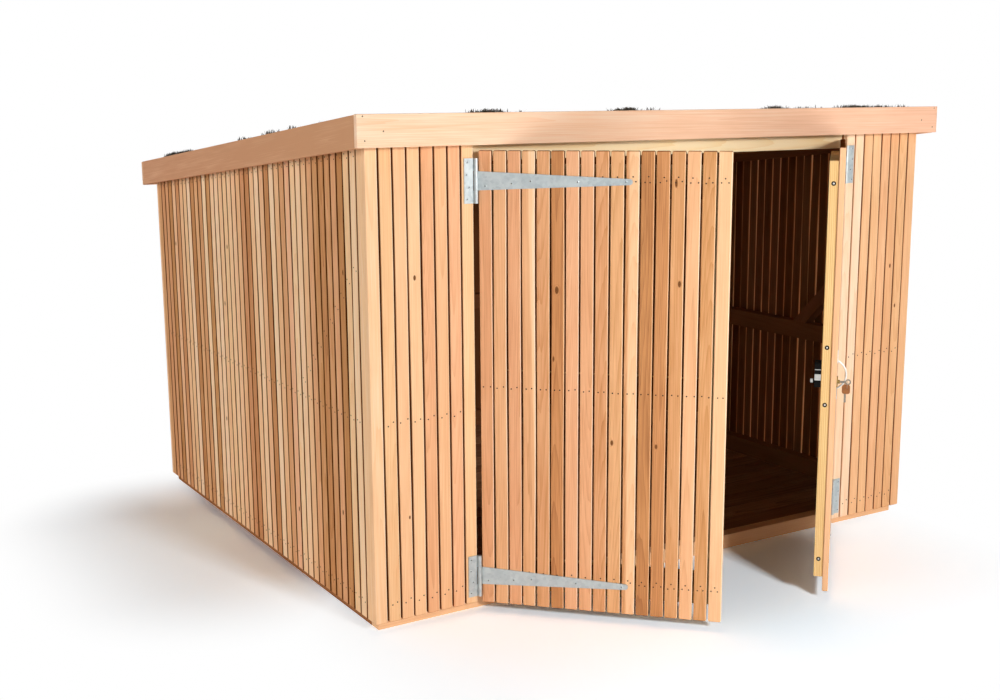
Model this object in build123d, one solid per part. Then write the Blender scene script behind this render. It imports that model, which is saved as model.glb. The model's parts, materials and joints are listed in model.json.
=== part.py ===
from build123d import *
import math
import os

# Bike shelter: a hut of upright timber slats on a timber frame, with a green roof that falls
# to the back and a pair of doors on tee hinges. Millimetres, X to the right seen from the
# front, Y to the back, Z up, origin on the ground under the middle of the base.

# Whole shelter: the width is the doorway and a slatted panel on either side of it
panel_width = 346
doorway_width = 1502
overall_depth = 1922

# Wall slats
slat_width = 38
slat_gap = 6
slat_thickness = 18
slat_bottom = 27

# Timber frame
base_height = 49
base_width = 45
post_size = 45
rail_height = 67
rail_depth = 45
mid_rail_bottom = 598
header_bottom = 1371
brace_width = 48
brace_run = 430

# Floor
floor_board_thickness = 18
floor_board_width = 95
floor_board_gap = 3
joist_width = 45
joist_count = 5

# Roof
eave_height = 1420
roof_fall_angle = 5.7
eave_front = 50
eave_side = 44
eave_back = 42
fascia_height = 91
fascia_thickness = 18
fascia_drop = 25
deck_thickness = 18
rafter_width = 45
rafter_count = 3

# Green roof: a flat mat with low cushions of growth, placed as shares of the mat's width and depth
mat_thickness = 40
cushion_height = 30
cushion_radius = 62
cushion_sides = 8
cushion_profile_shares = [(1.0, 0.0), (0.80, 0.55), (0.42, 1.0)]
cushion_place_shares = [
    (0.205, 0.05), (0.432, 0.05), (0.70, 0.05), (0.88, 0.05), (0.945, 0.06), (0.05, 0.24),
    (0.06, 0.45), (0.05, 0.86), (0.30, 0.40), (0.52, 0.66), (0.74, 0.36), (0.93, 0.72), (0.33, 0.80),
]

# Doors, with the angles at which they stand open
door_slat_gap = 5
door_top = 1403
hinge_gap = 11
meeting_gap = 28
stop_clearance = 6
stile_width = 45
door_frame_depth = 28
door_frame_bottom = 73
door_frame_top = 1363
stile_setback = 5
ledge_height = 95
mid_ledge_centre = 705
left_door_open = 45.5
right_door_open = 44.3

# Tee hinges
upper_hinge_height = 1316
lower_hinge_height = 114
hinge_metal = 3
knuckle_radius = 6.5
knuckle_face_gap = 0.5
knuckle_end_gap = 0.8
pin_radius = 3.5
pin_clearance = 0.3
leaf_length = 130
leaf_width = 37
strap_length = 455
strap_root_width = 55
strap_tip_width = 17

# Lock, handle and key on the right door
lock_height = 695
lock_edge_distance = 22
cylinder_radius = 9
cylinder_clearance = 0.3
rose_radius = 17
rose_thickness = 4
plug_radius = 6
plug_length = 6
lock_case_width = 60
lock_case_height = 75
lock_case_depth = 20
lock_case_rise = 20
lock_case_rounding = 3
knob_radius = 6.5
knob_length = 12
handle_bar_radius = 3
handle_reach = 28
handle_length = 84
handle_height = 709
handle_edge_distance = 62
handle_plate_length = 34
handle_plate_width = 20
handle_plate_thickness = 3
key_blade_length = 24
key_blade_width = 7
key_thickness = 2.2
key_bow_radius = 9
key_hole_radius = 5

# Places worked out from the sizes above
overall_width = doorway_width + 2 * panel_width
half_width = overall_width / 2
half_depth = overall_depth / 2
frame_x = half_width - slat_thickness
frame_y = half_depth - slat_thickness
inner_x = frame_x - rail_depth
inner_y = frame_y - rail_depth
stop_y = -frame_y + stop_clearance
base_inner_front = stop_y + base_width
half_doorway = doorway_width / 2
door_width = (doorway_width - 2 * hinge_gap - meeting_gap) / 2
roof_tangent = math.tan(math.radians(roof_fall_angle))
fascia_front_y = -half_depth - eave_front
fascia_back_y = half_depth + eave_back
fascia_side_x = half_width + eave_side
deck_front_y = fascia_front_y + fascia_thickness
deck_back_y = fascia_back_y - fascia_thickness
deck_side_x = fascia_side_x - fascia_thickness
bottom_rail_top = base_height + rail_height
mid_rail_top = mid_rail_bottom + rail_height
hinge_x = half_doorway - hinge_gap / 2
hinge_y = -half_depth - knuckle_radius - knuckle_face_gap
door_edge_x = half_doorway - hinge_gap
free_edge_x = meeting_gap / 2


def fascia_bottom(y):
    """Height of the fascias' lower edge, which falls with the roof, at a distance to the back."""
    return eave_height - roof_tangent * (y - fascia_front_y)


def deck_under(y):
    """Height of the roof deck's underside at a distance to the back."""
    return fascia_bottom(y) + fascia_drop


def block(x_low, x_high, y_low, y_high, z_low, z_high):
    """A squared timber between two corners."""
    centre = Pos((x_low + x_high) / 2, (y_low + y_high) / 2, (z_low + z_high) / 2)
    return centre * Box(x_high - x_low, y_high - y_low, z_high - z_low)


def side_profile(x_low, x_high, points):
    """A piece drawn as an outline in the side view and carried across in X."""
    outline = Polyline([(x_low, y, z) for y, z in points], close=True)
    return extrude(make_face(outline), amount=x_high - x_low, dir=(1, 0, 0))


def upright(x_low, x_high, y_low, y_high, z_low):
    """A post or slat whose top is cut to the slope of the roof deck."""
    corners = [(y_low, z_low), (y_high, z_low), (y_high, deck_under(y_high)), (y_low, deck_under(y_low))]
    return side_profile(x_low, x_high, corners)


def sloping(x_low, x_high, y_low, y_high, lift, height):
    """A piece that lies along the slope, at a lift from the deck's underside."""
    low = [(y_low, deck_under(y_low) + lift), (y_high, deck_under(y_high) + lift)]
    high = [(y_high, deck_under(y_high) + lift + height), (y_low, deck_under(y_low) + lift + height)]
    return side_profile(x_low, x_high, low + high)


def row(start, run, width, gap):
    """Near edges of equal pieces that fill a run, with gaps close to the one asked for."""
    count = max(2, round((run + gap) / (width + gap)))
    step = (run - width) / (count - 1)
    return [start + step * i for i in range(count)]


def mirrored(shape):
    """The same piece on the other side of the shelter."""
    return mirror(shape, about=Plane.YZ)


def save(name, solids):
    """Write the solids of one named piece."""
    solids = list(solids)
    shape = solids[0] if len(solids) == 1 else Compound(children=solids)
    export_step(shape, os.path.join("parts", name + ".step"))


# Base and floor
def base_front_rail():
    return block(-frame_x, frame_x, stop_y, base_inner_front, 0, base_height)


def base_back_rail():
    return block(-frame_x, frame_x, frame_y - base_width, frame_y, 0, base_height)


def base_side_rail():
    return block(-frame_x, -frame_x + base_width, base_inner_front, frame_y - base_width, 0, base_height)


def floor_joists():
    top = base_height - floor_board_thickness
    inner = frame_x - base_width
    step = (2 * inner - joist_width) / (joist_count - 1)
    starts = [-inner + step * i for i in range(joist_count)]
    back = frame_y - base_width
    return [block(x, x + joist_width, base_inner_front, back, 0, top) for x in starts]


def floor_boards():
    inner = frame_x - base_width
    run = frame_y - base_width - base_inner_front
    low = base_height - floor_board_thickness
    starts = row(base_inner_front, run, floor_board_width, floor_board_gap)
    return [block(-inner, inner, y, y + floor_board_width, low, base_height) for y in starts]


# Posts, rails and braces
def corner_posts():
    front = upright(-frame_x, -frame_x + post_size, -frame_y, -frame_y + post_size, base_height)
    back = upright(-frame_x, -frame_x + post_size, frame_y - post_size, frame_y, base_height)
    return [front, back, mirrored(front), mirrored(back)]


def door_posts():
    post = upright(-half_doorway - post_size, -half_doorway, -frame_y, -frame_y + post_size, base_height)
    return [post, mirrored(post)]


def front_header():
    return upright(-half_doorway, half_doorway, stop_y, stop_y + rail_depth, header_bottom)


def front_panel_rails():
    left = -frame_x + post_size
    right = -half_doorway - post_size
    back = -frame_y + rail_depth
    bottom = block(left, right, -frame_y, back, base_height, bottom_rail_top)
    middle = block(left, right, -frame_y, back, mid_rail_bottom, mid_rail_top)
    top = sloping(left, right, -frame_y, back, -rail_height, rail_height)
    rails = [bottom, middle, top]
    return rails + [mirrored(rail) for rail in rails]


def side_wall_rails():
    front = -frame_y + post_size
    back = frame_y - post_size
    bottom = block(-frame_x, -inner_x, front, back, base_height, bottom_rail_top)
    middle = block(-frame_x, -inner_x, front, back, mid_rail_bottom, mid_rail_top)
    top = sloping(-frame_x, -inner_x, front, back, -rail_height, rail_height)
    return [bottom, middle, top]


def back_wall_rails():
    reach = frame_x - post_size
    bottom = block(-reach, reach, inner_y, frame_y, base_height, bottom_rail_top)
    middle = block(-reach, reach, inner_y, frame_y, mid_rail_bottom, mid_rail_top)
    top = sloping(-reach, reach, inner_y, frame_y, -rail_height, rail_height)
    return [bottom, middle, top]


def side_brace():
    """Brace at 45 degrees from the front corner post down to the middle rail."""
    post_face = -frame_y + post_size
    half_cut = brace_width / math.sqrt(2)
    outline = [
        (post_face, mid_rail_top + brace_run - half_cut),
        (post_face, mid_rail_top + brace_run + half_cut),
        (post_face + brace_run + half_cut, mid_rail_top),
        (post_face + brace_run - half_cut, mid_rail_top),
    ]
    return side_profile(-frame_x, -inner_x, outline)


# Slat walls
def side_slats():
    starts = row(-frame_y, 2 * frame_y, slat_width, slat_gap)
    return [upright(-half_width, -frame_x, y, y + slat_width, slat_bottom) for y in starts]


def back_slats():
    starts = row(-half_width, overall_width, slat_width, slat_gap)
    return [upright(x, x + slat_width, frame_y, half_depth, slat_bottom) for x in starts]


def front_panel_slats():
    starts = row(-half_width, panel_width, slat_width, slat_gap)
    return [upright(x, x + slat_width, -half_depth, -frame_y, slat_bottom) for x in starts]


# Roof
def roof_rafters():
    front = stop_y + rail_depth
    span = doorway_width / (rafter_count + 1)
    centres = [-half_doorway + span * (i + 1) for i in range(rafter_count)]
    half = rafter_width / 2
    return [sloping(x - half, x + half, front, inner_y, -rail_height, rail_height) for x in centres]


def roof_deck():
    return sloping(-deck_side_x, deck_side_x, deck_front_y, deck_back_y, 0, deck_thickness)


def sedum_mat():
    return sloping(-deck_side_x, deck_side_x, deck_front_y, deck_back_y, deck_thickness, mat_thickness)


def sedum_cushions():
    """Low domes of growth, faceted in rings, that sit square on the mat."""
    rings = [
        Pos(0, 0, cushion_height * up) * RegularPolygon(cushion_radius * out, cushion_sides)
        for out, up in cushion_profile_shares
    ]
    dome = loft(rings, ruled=True)
    domes = []
    for share_x, share_y in cushion_place_shares:
        x = deck_side_x * (2 * share_x - 1)
        y = deck_front_y + (deck_back_y - deck_front_y) * share_y
        z = deck_under(y) + deck_thickness + mat_thickness
        inward = max(-deck_side_x + cushion_radius, min(deck_side_x - cushion_radius, x))
        y_inward = max(deck_front_y + cushion_radius, min(deck_back_y - cushion_radius, y))
        z += roof_tangent * (y - y_inward)
        domes.append(Pos(inward, y_inward, z) * Rot(-roof_fall_angle, 0, 0) * dome)
    return domes


def fascia_front():
    top = eave_height + fascia_height
    return block(-fascia_side_x, fascia_side_x, fascia_front_y, deck_front_y, eave_height, top)


def fascia_back():
    low = fascia_bottom(fascia_back_y)
    return block(-fascia_side_x, fascia_side_x, deck_back_y, fascia_back_y, low, low + fascia_height)


def fascia_side():
    return sloping(-fascia_side_x, -deck_side_x, deck_front_y, deck_back_y, -fascia_drop, fascia_height)


# Tee hinges of the left door, closed, with the pin's axis upright
def upright_bar(radius, z_low, z_high):
    return Pos(-hinge_x, hinge_y, (z_low + z_high) / 2) * Cylinder(radius, z_high - z_low)


def pin_bore(z_low, z_high):
    return upright_bar(pin_radius + pin_clearance, z_low, z_high)


def knuckle(z_low, z_high):
    return upright_bar(knuckle_radius, z_low, z_high) - pin_bore(z_low, z_high)


def hinge_leaf(height):
    """Fixed leaf on the panel's last slat, rolled into the two outer knuckles."""
    low = height - leaf_length / 2
    high = height + leaf_length / 2
    inner_low = height - strap_root_width / 2 - knuckle_end_gap
    inner_high = height + strap_root_width / 2 + knuckle_end_gap
    face = -half_depth
    clear_x = -hinge_x - knuckle_radius - knuckle_face_gap
    plate = block(-hinge_x - leaf_width, clear_x, face - hinge_metal, face, low, high)
    leaf = plate
    for z_low, z_high in ((low, inner_low), (inner_high, high)):
        root = block(clear_x, -hinge_x, face - hinge_metal, face, z_low, z_high)
        leaf = leaf + (root - pin_bore(z_low, z_high)) + knuckle(z_low, z_high)
    return leaf


def hinge_pin(height):
    return upright_bar(pin_radius, height - leaf_length / 2, height + leaf_length / 2)


def door_strap(height):
    """Tapered strap with a round tip, rolled into the middle knuckle."""
    face = -half_depth
    start = -hinge_x + knuckle_radius + knuckle_face_gap
    tip_half = strap_tip_width / 2
    tip_x = -hinge_x + strap_length
    half_root = strap_root_width / 2
    low = height - half_root
    high = height + half_root
    tip_low = (tip_x - tip_half, face, height - tip_half)
    tip_high = (tip_x - tip_half, face, height + tip_half)
    outline = [
        Polyline([tip_high, (start, face, high), (start, face, low), tip_low]),
        ThreePointArc(tip_low, (tip_x, face, height), tip_high),
    ]
    plate = extrude(make_face(outline), amount=hinge_metal, dir=(0, -1, 0))
    root = block(-hinge_x, start, face - hinge_metal, face, low, high)
    return plate + (root - pin_bore(low, high)) + knuckle(low, high)


# Doors, drawn closed on the left side
def door_slats():
    starts = row(-door_edge_x, door_width, slat_width, door_slat_gap)
    return [block(x, x + slat_width, -half_depth, -frame_y, slat_bottom, door_top) for x in starts]


def door_stiles():
    back = -frame_y + door_frame_depth
    hinge_side = -door_edge_x + stile_setback
    free_side = -free_edge_x - stile_setback - stile_width
    starts = [hinge_side, free_side]
    return [
        block(x, x + stile_width, -frame_y, back, door_frame_bottom, door_frame_top) for x in starts
    ]


def door_ledges():
    left = -door_edge_x + stile_setback + stile_width
    right = -free_edge_x - stile_setback - stile_width
    back = -frame_y + door_frame_depth
    half = ledge_height / 2
    spans = [
        (door_frame_bottom, door_frame_bottom + ledge_height),
        (mid_ledge_centre - half, mid_ledge_centre + half),
        (door_frame_top - ledge_height, door_frame_top),
    ]
    return [block(left, right, -frame_y, back, low, high) for low, high in spans]


# Lock, handle and key, drawn with the right door closed
lock_x = free_edge_x + lock_edge_distance
handle_x = free_edge_x + handle_edge_distance
door_back_y = -frame_y + door_frame_depth


def across(x, y_low, y_high, z, radius):
    """A round bar that runs front to back."""
    bar = Cylinder(radius, y_high - y_low)
    return Pos(x, (y_low + y_high) / 2, z) * Rot(90, 0, 0) * bar


def lock_bore():
    return across(lock_x, -half_depth, door_back_y, lock_height, cylinder_radius + cylinder_clearance)


def lock_cylinder():
    face = -half_depth
    body = across(lock_x, face, door_back_y, lock_height, cylinder_radius)
    rose = across(lock_x, face - rose_thickness, face, lock_height, rose_radius)
    plug = across(lock_x, face - rose_thickness - plug_length, face, lock_height, plug_radius)
    return body + rose + plug


def lock_case():
    """Rim lock on the inside of the stile, with its turning knob."""
    left = free_edge_x + stile_setback
    back = door_back_y + lock_case_depth
    low = lock_height + lock_case_rise - lock_case_height / 2
    case = block(left, left + lock_case_width, door_back_y, back, low, low + lock_case_height)
    case = fillet(case.edges().filter_by(Axis.Y), lock_case_rounding)
    knob = across(lock_x, back, back + knob_length, lock_height, knob_radius)
    return case + knob


def pull_handle():
    """Bow handle of eight-sided bar, whose ends run out into two flat plates."""
    face = -half_depth - handle_plate_thickness
    half = handle_length / 2
    path = ThreePointArc(
        (handle_x, face, handle_height - half),
        (handle_x, face - handle_reach + handle_bar_radius, handle_height),
        (handle_x, face, handle_height + half),
    )
    bar_sides = 8
    profile = Plane(origin=path @ 0, z_dir=path % 0) * RegularPolygon(handle_bar_radius, bar_sides)
    bow = sweep(profile, path)
    half_plate = handle_plate_width / 2
    near = half - 2 * handle_bar_radius
    far = half + handle_plate_length
    inside = block(
        handle_x - half_plate, handle_x + half_plate, face, -half_depth,
        handle_height - far, handle_height + far,
    )
    handle = bow - inside
    for low, high in ((-far, -near), (near, far)):
        plate = block(
            handle_x - half_plate, handle_x + half_plate, face, -half_depth,
            handle_height + low, handle_height + high,
        )
        handle = handle + plate
    return handle


def door_key():
    """Flat key that stands in the cylinder, with a round bow and a ring hole."""
    face = -half_depth - rose_thickness - plug_length
    half = key_thickness / 2
    blade = block(
        lock_x - half, lock_x + half, face - key_blade_length, face,
        lock_height - key_blade_width / 2, lock_height + key_blade_width / 2,
    )
    bow_y = face - key_blade_length
    bow = Pos(lock_x, bow_y, lock_height) * Rot(0, 90, 0) * Cylinder(key_bow_radius, key_thickness)
    hole = Pos(lock_x, bow_y, lock_height) * Rot(0, 90, 0) * Cylinder(key_hole_radius, key_thickness)
    return blade + bow - hole


def swing_left(solids):
    axis = Axis((-hinge_x, hinge_y, 0), (0, 0, 1))
    return [solid.rotate(axis, -left_door_open) for solid in solids]


def swing_right(solids):
    axis = Axis((hinge_x, hinge_y, 0), (0, 0, 1))
    return [solid.rotate(axis, right_door_open) for solid in solids]


def build():
    os.makedirs("parts", exist_ok=True)
    hinge_heights = [upper_hinge_height, lower_hinge_height]

    save("base_front_rail", [base_front_rail()])
    save("base_back_rail", [base_back_rail()])
    save("base_left_rail", [base_side_rail()])
    save("base_right_rail", [mirrored(base_side_rail())])
    save("floor_joists", floor_joists())
    save("floor_boards", floor_boards())

    save("corner_posts", corner_posts())
    save("door_posts", door_posts())
    save("front_header", [front_header()])
    save("front_panel_rails", front_panel_rails())
    save("left_wall_rails", side_wall_rails())
    save("right_wall_rails", [mirrored(rail) for rail in side_wall_rails()])
    save("back_wall_rails", back_wall_rails())
    save("left_wall_brace", [side_brace()])
    save("right_wall_brace", [mirrored(side_brace())])

    save("left_wall_slats", side_slats())
    save("right_wall_slats", [mirrored(slat) for slat in side_slats()])
    save("back_wall_slats", back_slats())
    save("front_left_slats", front_panel_slats())
    save("front_right_slats", [mirrored(slat) for slat in front_panel_slats()])

    save("roof_rafters", roof_rafters())
    save("roof_deck", [roof_deck()])
    save("sedum_mat", [sedum_mat()])
    save("sedum_cushions", sedum_cushions())
    save("fascia_front", [fascia_front()])
    save("fascia_back", [fascia_back()])
    save("fascia_left", [fascia_side()])
    save("fascia_right", [mirrored(fascia_side())])

    leaves = [hinge_leaf(height) for height in hinge_heights]
    pins = [hinge_pin(height) for height in hinge_heights]
    straps = [door_strap(height) for height in hinge_heights]
    save("left_hinge_leaves", leaves)
    save("left_hinge_pins", pins)
    save("right_hinge_leaves", [mirrored(leaf) for leaf in leaves])
    save("right_hinge_pins", [mirrored(pin) for pin in pins])

    save("left_door_slats", swing_left(door_slats()))
    save("left_door_stiles", swing_left(door_stiles()))
    save("left_door_ledges", swing_left(door_ledges()))
    save("left_door_straps", swing_left(straps))

    right_slats = [mirrored(slat) for slat in door_slats()]
    right_stiles = [mirrored(stile) for stile in door_stiles()]
    right_slats[-1] = right_slats[-1] - lock_bore()
    right_stiles[-1] = right_stiles[-1] - lock_bore()
    save("right_door_slats", swing_right(right_slats))
    save("right_door_stiles", swing_right(right_stiles))
    save("right_door_ledges", swing_right([mirrored(ledge) for ledge in door_ledges()]))
    save("right_door_straps", swing_right([mirrored(strap) for strap in straps]))
    save("lock_case", swing_right([lock_case()]))
    save("lock_cylinder", swing_right([lock_cylinder()]))
    save("pull_handle", swing_right([pull_handle()]))
    save("door_key", swing_right([door_key()]))


build()
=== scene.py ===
"""Looks of a slatted timber bike shelter with a green roof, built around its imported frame."""

import json
import math

import bpy
import numpy as np
from bpy.props import FloatProperty, FloatVectorProperty, IntProperty, PointerProperty
from mathutils import Matrix, Vector

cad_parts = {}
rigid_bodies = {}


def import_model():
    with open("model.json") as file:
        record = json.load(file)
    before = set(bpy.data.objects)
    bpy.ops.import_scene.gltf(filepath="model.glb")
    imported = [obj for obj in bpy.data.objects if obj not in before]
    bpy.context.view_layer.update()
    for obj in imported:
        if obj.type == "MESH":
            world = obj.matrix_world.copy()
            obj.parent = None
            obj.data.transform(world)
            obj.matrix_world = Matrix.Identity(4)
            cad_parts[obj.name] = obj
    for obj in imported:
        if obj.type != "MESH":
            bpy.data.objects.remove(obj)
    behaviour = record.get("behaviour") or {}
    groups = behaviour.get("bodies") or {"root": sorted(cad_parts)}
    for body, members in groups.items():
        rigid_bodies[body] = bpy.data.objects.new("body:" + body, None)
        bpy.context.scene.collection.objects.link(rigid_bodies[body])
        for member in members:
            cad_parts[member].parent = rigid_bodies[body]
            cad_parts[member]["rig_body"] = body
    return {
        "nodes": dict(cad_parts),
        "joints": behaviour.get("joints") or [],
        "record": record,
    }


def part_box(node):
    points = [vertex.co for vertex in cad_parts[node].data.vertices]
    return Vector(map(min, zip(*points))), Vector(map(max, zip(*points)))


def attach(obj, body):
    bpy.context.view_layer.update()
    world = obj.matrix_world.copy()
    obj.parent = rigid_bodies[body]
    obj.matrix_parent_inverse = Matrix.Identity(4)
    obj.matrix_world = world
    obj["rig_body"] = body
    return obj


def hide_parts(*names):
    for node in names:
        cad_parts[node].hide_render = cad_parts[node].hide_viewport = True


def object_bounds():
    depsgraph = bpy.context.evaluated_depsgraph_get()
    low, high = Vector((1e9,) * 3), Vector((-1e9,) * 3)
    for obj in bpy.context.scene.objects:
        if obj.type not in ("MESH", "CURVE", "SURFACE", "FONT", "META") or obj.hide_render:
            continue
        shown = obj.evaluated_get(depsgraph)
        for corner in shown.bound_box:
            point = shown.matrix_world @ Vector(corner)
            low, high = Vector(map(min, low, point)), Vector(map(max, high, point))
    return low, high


bl_info = {
    "name": "Bike Shelter Looks",
    "version": (1, 0, 0),
    "blender": (4, 5, 0),
    "location": "3D View > Sidebar > Shelter",
    "description": "Dresses the frame of a slatted bike shelter in larch, pine, steel and sedum",
    "category": "Object",
}

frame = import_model()
CAD_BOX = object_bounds()
MM = 0.001
# Points of a solid nearer than this are one
SNAP = 1e-5
# Tone at the end of a timber's colour ramp
TONE_SPAN = 2.0


def linear(code):
    """Linear RGB of an sRGB colour written as six hex digits."""
    share = np.array([int(code[i:i + 2], 16) for i in (0, 2, 4)]) / 255
    return tuple(np.where(share <= 0.04045, share / 12.92, ((share + 0.055) / 1.055) ** 2.4))


def colour(name, text, code):
    """A colour that a user can change."""
    return FloatVectorProperty(name=name, description=text, subtype="COLOR", size=3, min=0, max=1,
                               default=linear(code))


def size(name, text, millimetres):
    """A length that a user can change."""
    return FloatProperty(name=name, description=text, unit="LENGTH", default=millimetres * MM)


# Settings
class TimberSettings(bpy.types.PropertyGroup):
    """Planed larch slats and fascias, pine frame and brown floor boards."""

    ease: size("Eased edge", "Radius planed on the edges of slats and boards", 2.6)
    frame_ease: size("Frame edge", "Radius planed on the edges of frame timbers", 1.5)
    nail_radius: size("Nail head", "Radius of the slats' nail heads", 2.2)
    larch_sapwood: colour("Larch sapwood", "Cream sapwood", "FBDFBF")
    larch_pale: colour("Larch pale", "Pale peach heartwood", "F6C89B")
    larch_mid: colour("Larch mid", "Orange tan heartwood", "E7AE80")
    larch_deep: colour("Larch deep", "Brown heartwood", "C88A59")
    larch_dark: colour("Larch dark", "Dark late wood", "98603E")
    # The next two colours are painted shade: slats' sides down in the gaps, and inner faces in the shaded
    # inside
    larch_rough: colour("Larch rough", "Rough sawn inner faces", "7A4522")
    larch_edge: colour("Larch edge", "Saw-burnt edges deep between slats", "5A2A0E")
    fascia_pale: colour("Fascia pale", "Pale peach fascia boards", "F8CDA4")
    fascia_deep: colour("Fascia deep", "Pinkish brown fascia boards", "D19F74")
    pine_pale: colour("Pine pale", "Cream pine early wood", "FDEBC2")
    pine_mid: colour("Pine mid", "Yellow pine", "F6D89E")
    pine_deep: colour("Pine deep", "Orange pine late wood", "DCA765")
    floor_pale: colour("Floor pale", "Worn top of the floor boards", "C89468")
    floor_deep: colour("Floor deep", "Brown floor boards", "8A5A3E")


class RoofSettings(bpy.types.PropertyGroup):
    """Stonecrop and grass on the roof mat."""

    tufts: IntProperty(name="Tufts", description="Low rosettes spread over the mat", default=5200)
    clump_tufts: IntProperty(name="Clump tufts", description="Tufts on each raised clump", default=150)
    soil: colour("Soil", "Dark growing mat", "3A2C20")
    moss: colour("Moss", "Moss on the mat", "767C3C")
    leaf_green: colour("Leaf green", "Olive stonecrop leaves", "87904C")
    leaf_yellow: colour("Leaf yellow", "Stonecrop leaves in full sun", "A79F58")
    leaf_red: colour("Leaf red", "Stonecrop leaves turned red", "94543C")
    # Stalk tints: partly the own brown of dry stalks and old leaves, partly painted shade of clumps against
    # the light
    stalk_olive: colour("Stalk olive", "Olive of the clumps' old leaves", "3A3620")
    stalk_red: colour("Stalk red", "Red of the clumps' old leaves", "4E2A1E")
    stalk_dry: colour("Stalk dry", "Dry brown stalks", "33261A")


class MetalSettings(bpy.types.PropertyGroup):
    """Hinges, nails, screws and lock."""

    zinc_pale: colour("Zinc pale", "Bright crystals of the zinc coat", "C3CACA")
    zinc_dull: colour("Zinc dull", "Dull crystals of the zinc coat", "ABB4B7")
    nail_steel: colour("Nail steel", "Darkened nail heads", "1C130D")
    screw_head: size("Screw head", "Radius of the hinge screws' heads", 4.2)
    stile_screw_head: size("Stile screw head", "Radius of the screws in the door's edge", 7.0)
    ring_radius: size("Key ring", "Radius of the key ring", 11)
    handle_bar: size("Handle bar", "Radius of the handle's round bar", 3)
    handle_bow: size("Handle bow", "Distance between the ends of the handle's bow", 84)
    handle_plate: size("Handle plate", "Thickness of the handle's end plates", 3)


class StageSettings(bpy.types.PropertyGroup):
    """Camera of the reference view, softbox and surroundings."""

    camera_place: FloatVectorProperty(name="Camera", description="Place of the camera", unit="LENGTH",
                                      default=(-2.678, -4.271, 1.551))
    camera_yaw: FloatProperty(name="Yaw", description="Turn of the view from +Y towards +X",
                              subtype="ANGLE", default=0.5466)
    camera_pitch: FloatProperty(name="Pitch", description="Downward tilt of the view",
                                subtype="ANGLE", default=0.1894)
    camera_roll: FloatProperty(name="Roll", description="Turn about the line of sight",
                               subtype="ANGLE", default=-0.0069)
    camera_lens: FloatProperty(name="Lens", description="Focal length in millimetres on a 36 mm film",
                               default=47.33)
    softbox_place: FloatVectorProperty(name="Softbox", description="Place of the front softbox",
                                       unit="LENGTH", default=(-0.21, -5.4, 2.15))
    softbox_aim: FloatVectorProperty(name="Softbox aim", description="Floor point that the softbox faces",
                                     unit="LENGTH", default=(-0.1, -3.4, 0))
    softbox_size: size("Softbox size", "Side of the square softbox", 700)
    softbox_power: FloatProperty(name="Softbox power", description="Power of the softbox", unit="POWER",
                                 default=138)
    side_light: FloatProperty(name="Side light", description="Room light from the sides and back",
                              default=3.5)
    top_light: FloatProperty(name="Top light", description="Room light from overhead", default=0.05)
    front_light: FloatProperty(name="Front light", description="Share of room light in front", default=0.12)
    floor_reach: size("Floor reach", "Half the side of the floor", 30000)
    floor_gain: FloatProperty(name="Floor gain", description="Brightness of the floor to the camera",
                              default=1.65)


class ShelterSettings(bpy.types.PropertyGroup):
    """All settings of the shelter's looks."""

    timber: PointerProperty(type=TimberSettings)
    roof: PointerProperty(type=RoofSettings)
    metal: PointerProperty(type=MetalSettings)
    stage: PointerProperty(type=StageSettings)


# Shader nodes
def add(tree, kind, inputs=None, stops=None, **settings):
    """Add one shader node: settings are its own values, inputs are sockets to link or plain values."""
    made = tree.nodes.new("ShaderNode" + kind)
    for key, value in settings.items():
        setattr(made, key, value)
    for key, value in (inputs or {}).items():
        if isinstance(value, bpy.types.NodeSocket):
            tree.links.new(value, made.inputs[key])
        else:
            made.inputs[key].default_value = value
    for index, (place, tint) in enumerate(stops or []):
        elements = made.color_ramp.elements
        element = elements[index] if index < 2 else elements.new(place)
        element.position = place
        element.color = (*tint, 1)
    return made


def new_material(name):
    """An empty node material with its output and Principled shader."""
    material = bpy.data.materials.new(name)
    material.use_nodes = True
    tree = material.node_tree
    return material, tree, tree.nodes["Principled BSDF"]


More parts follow.
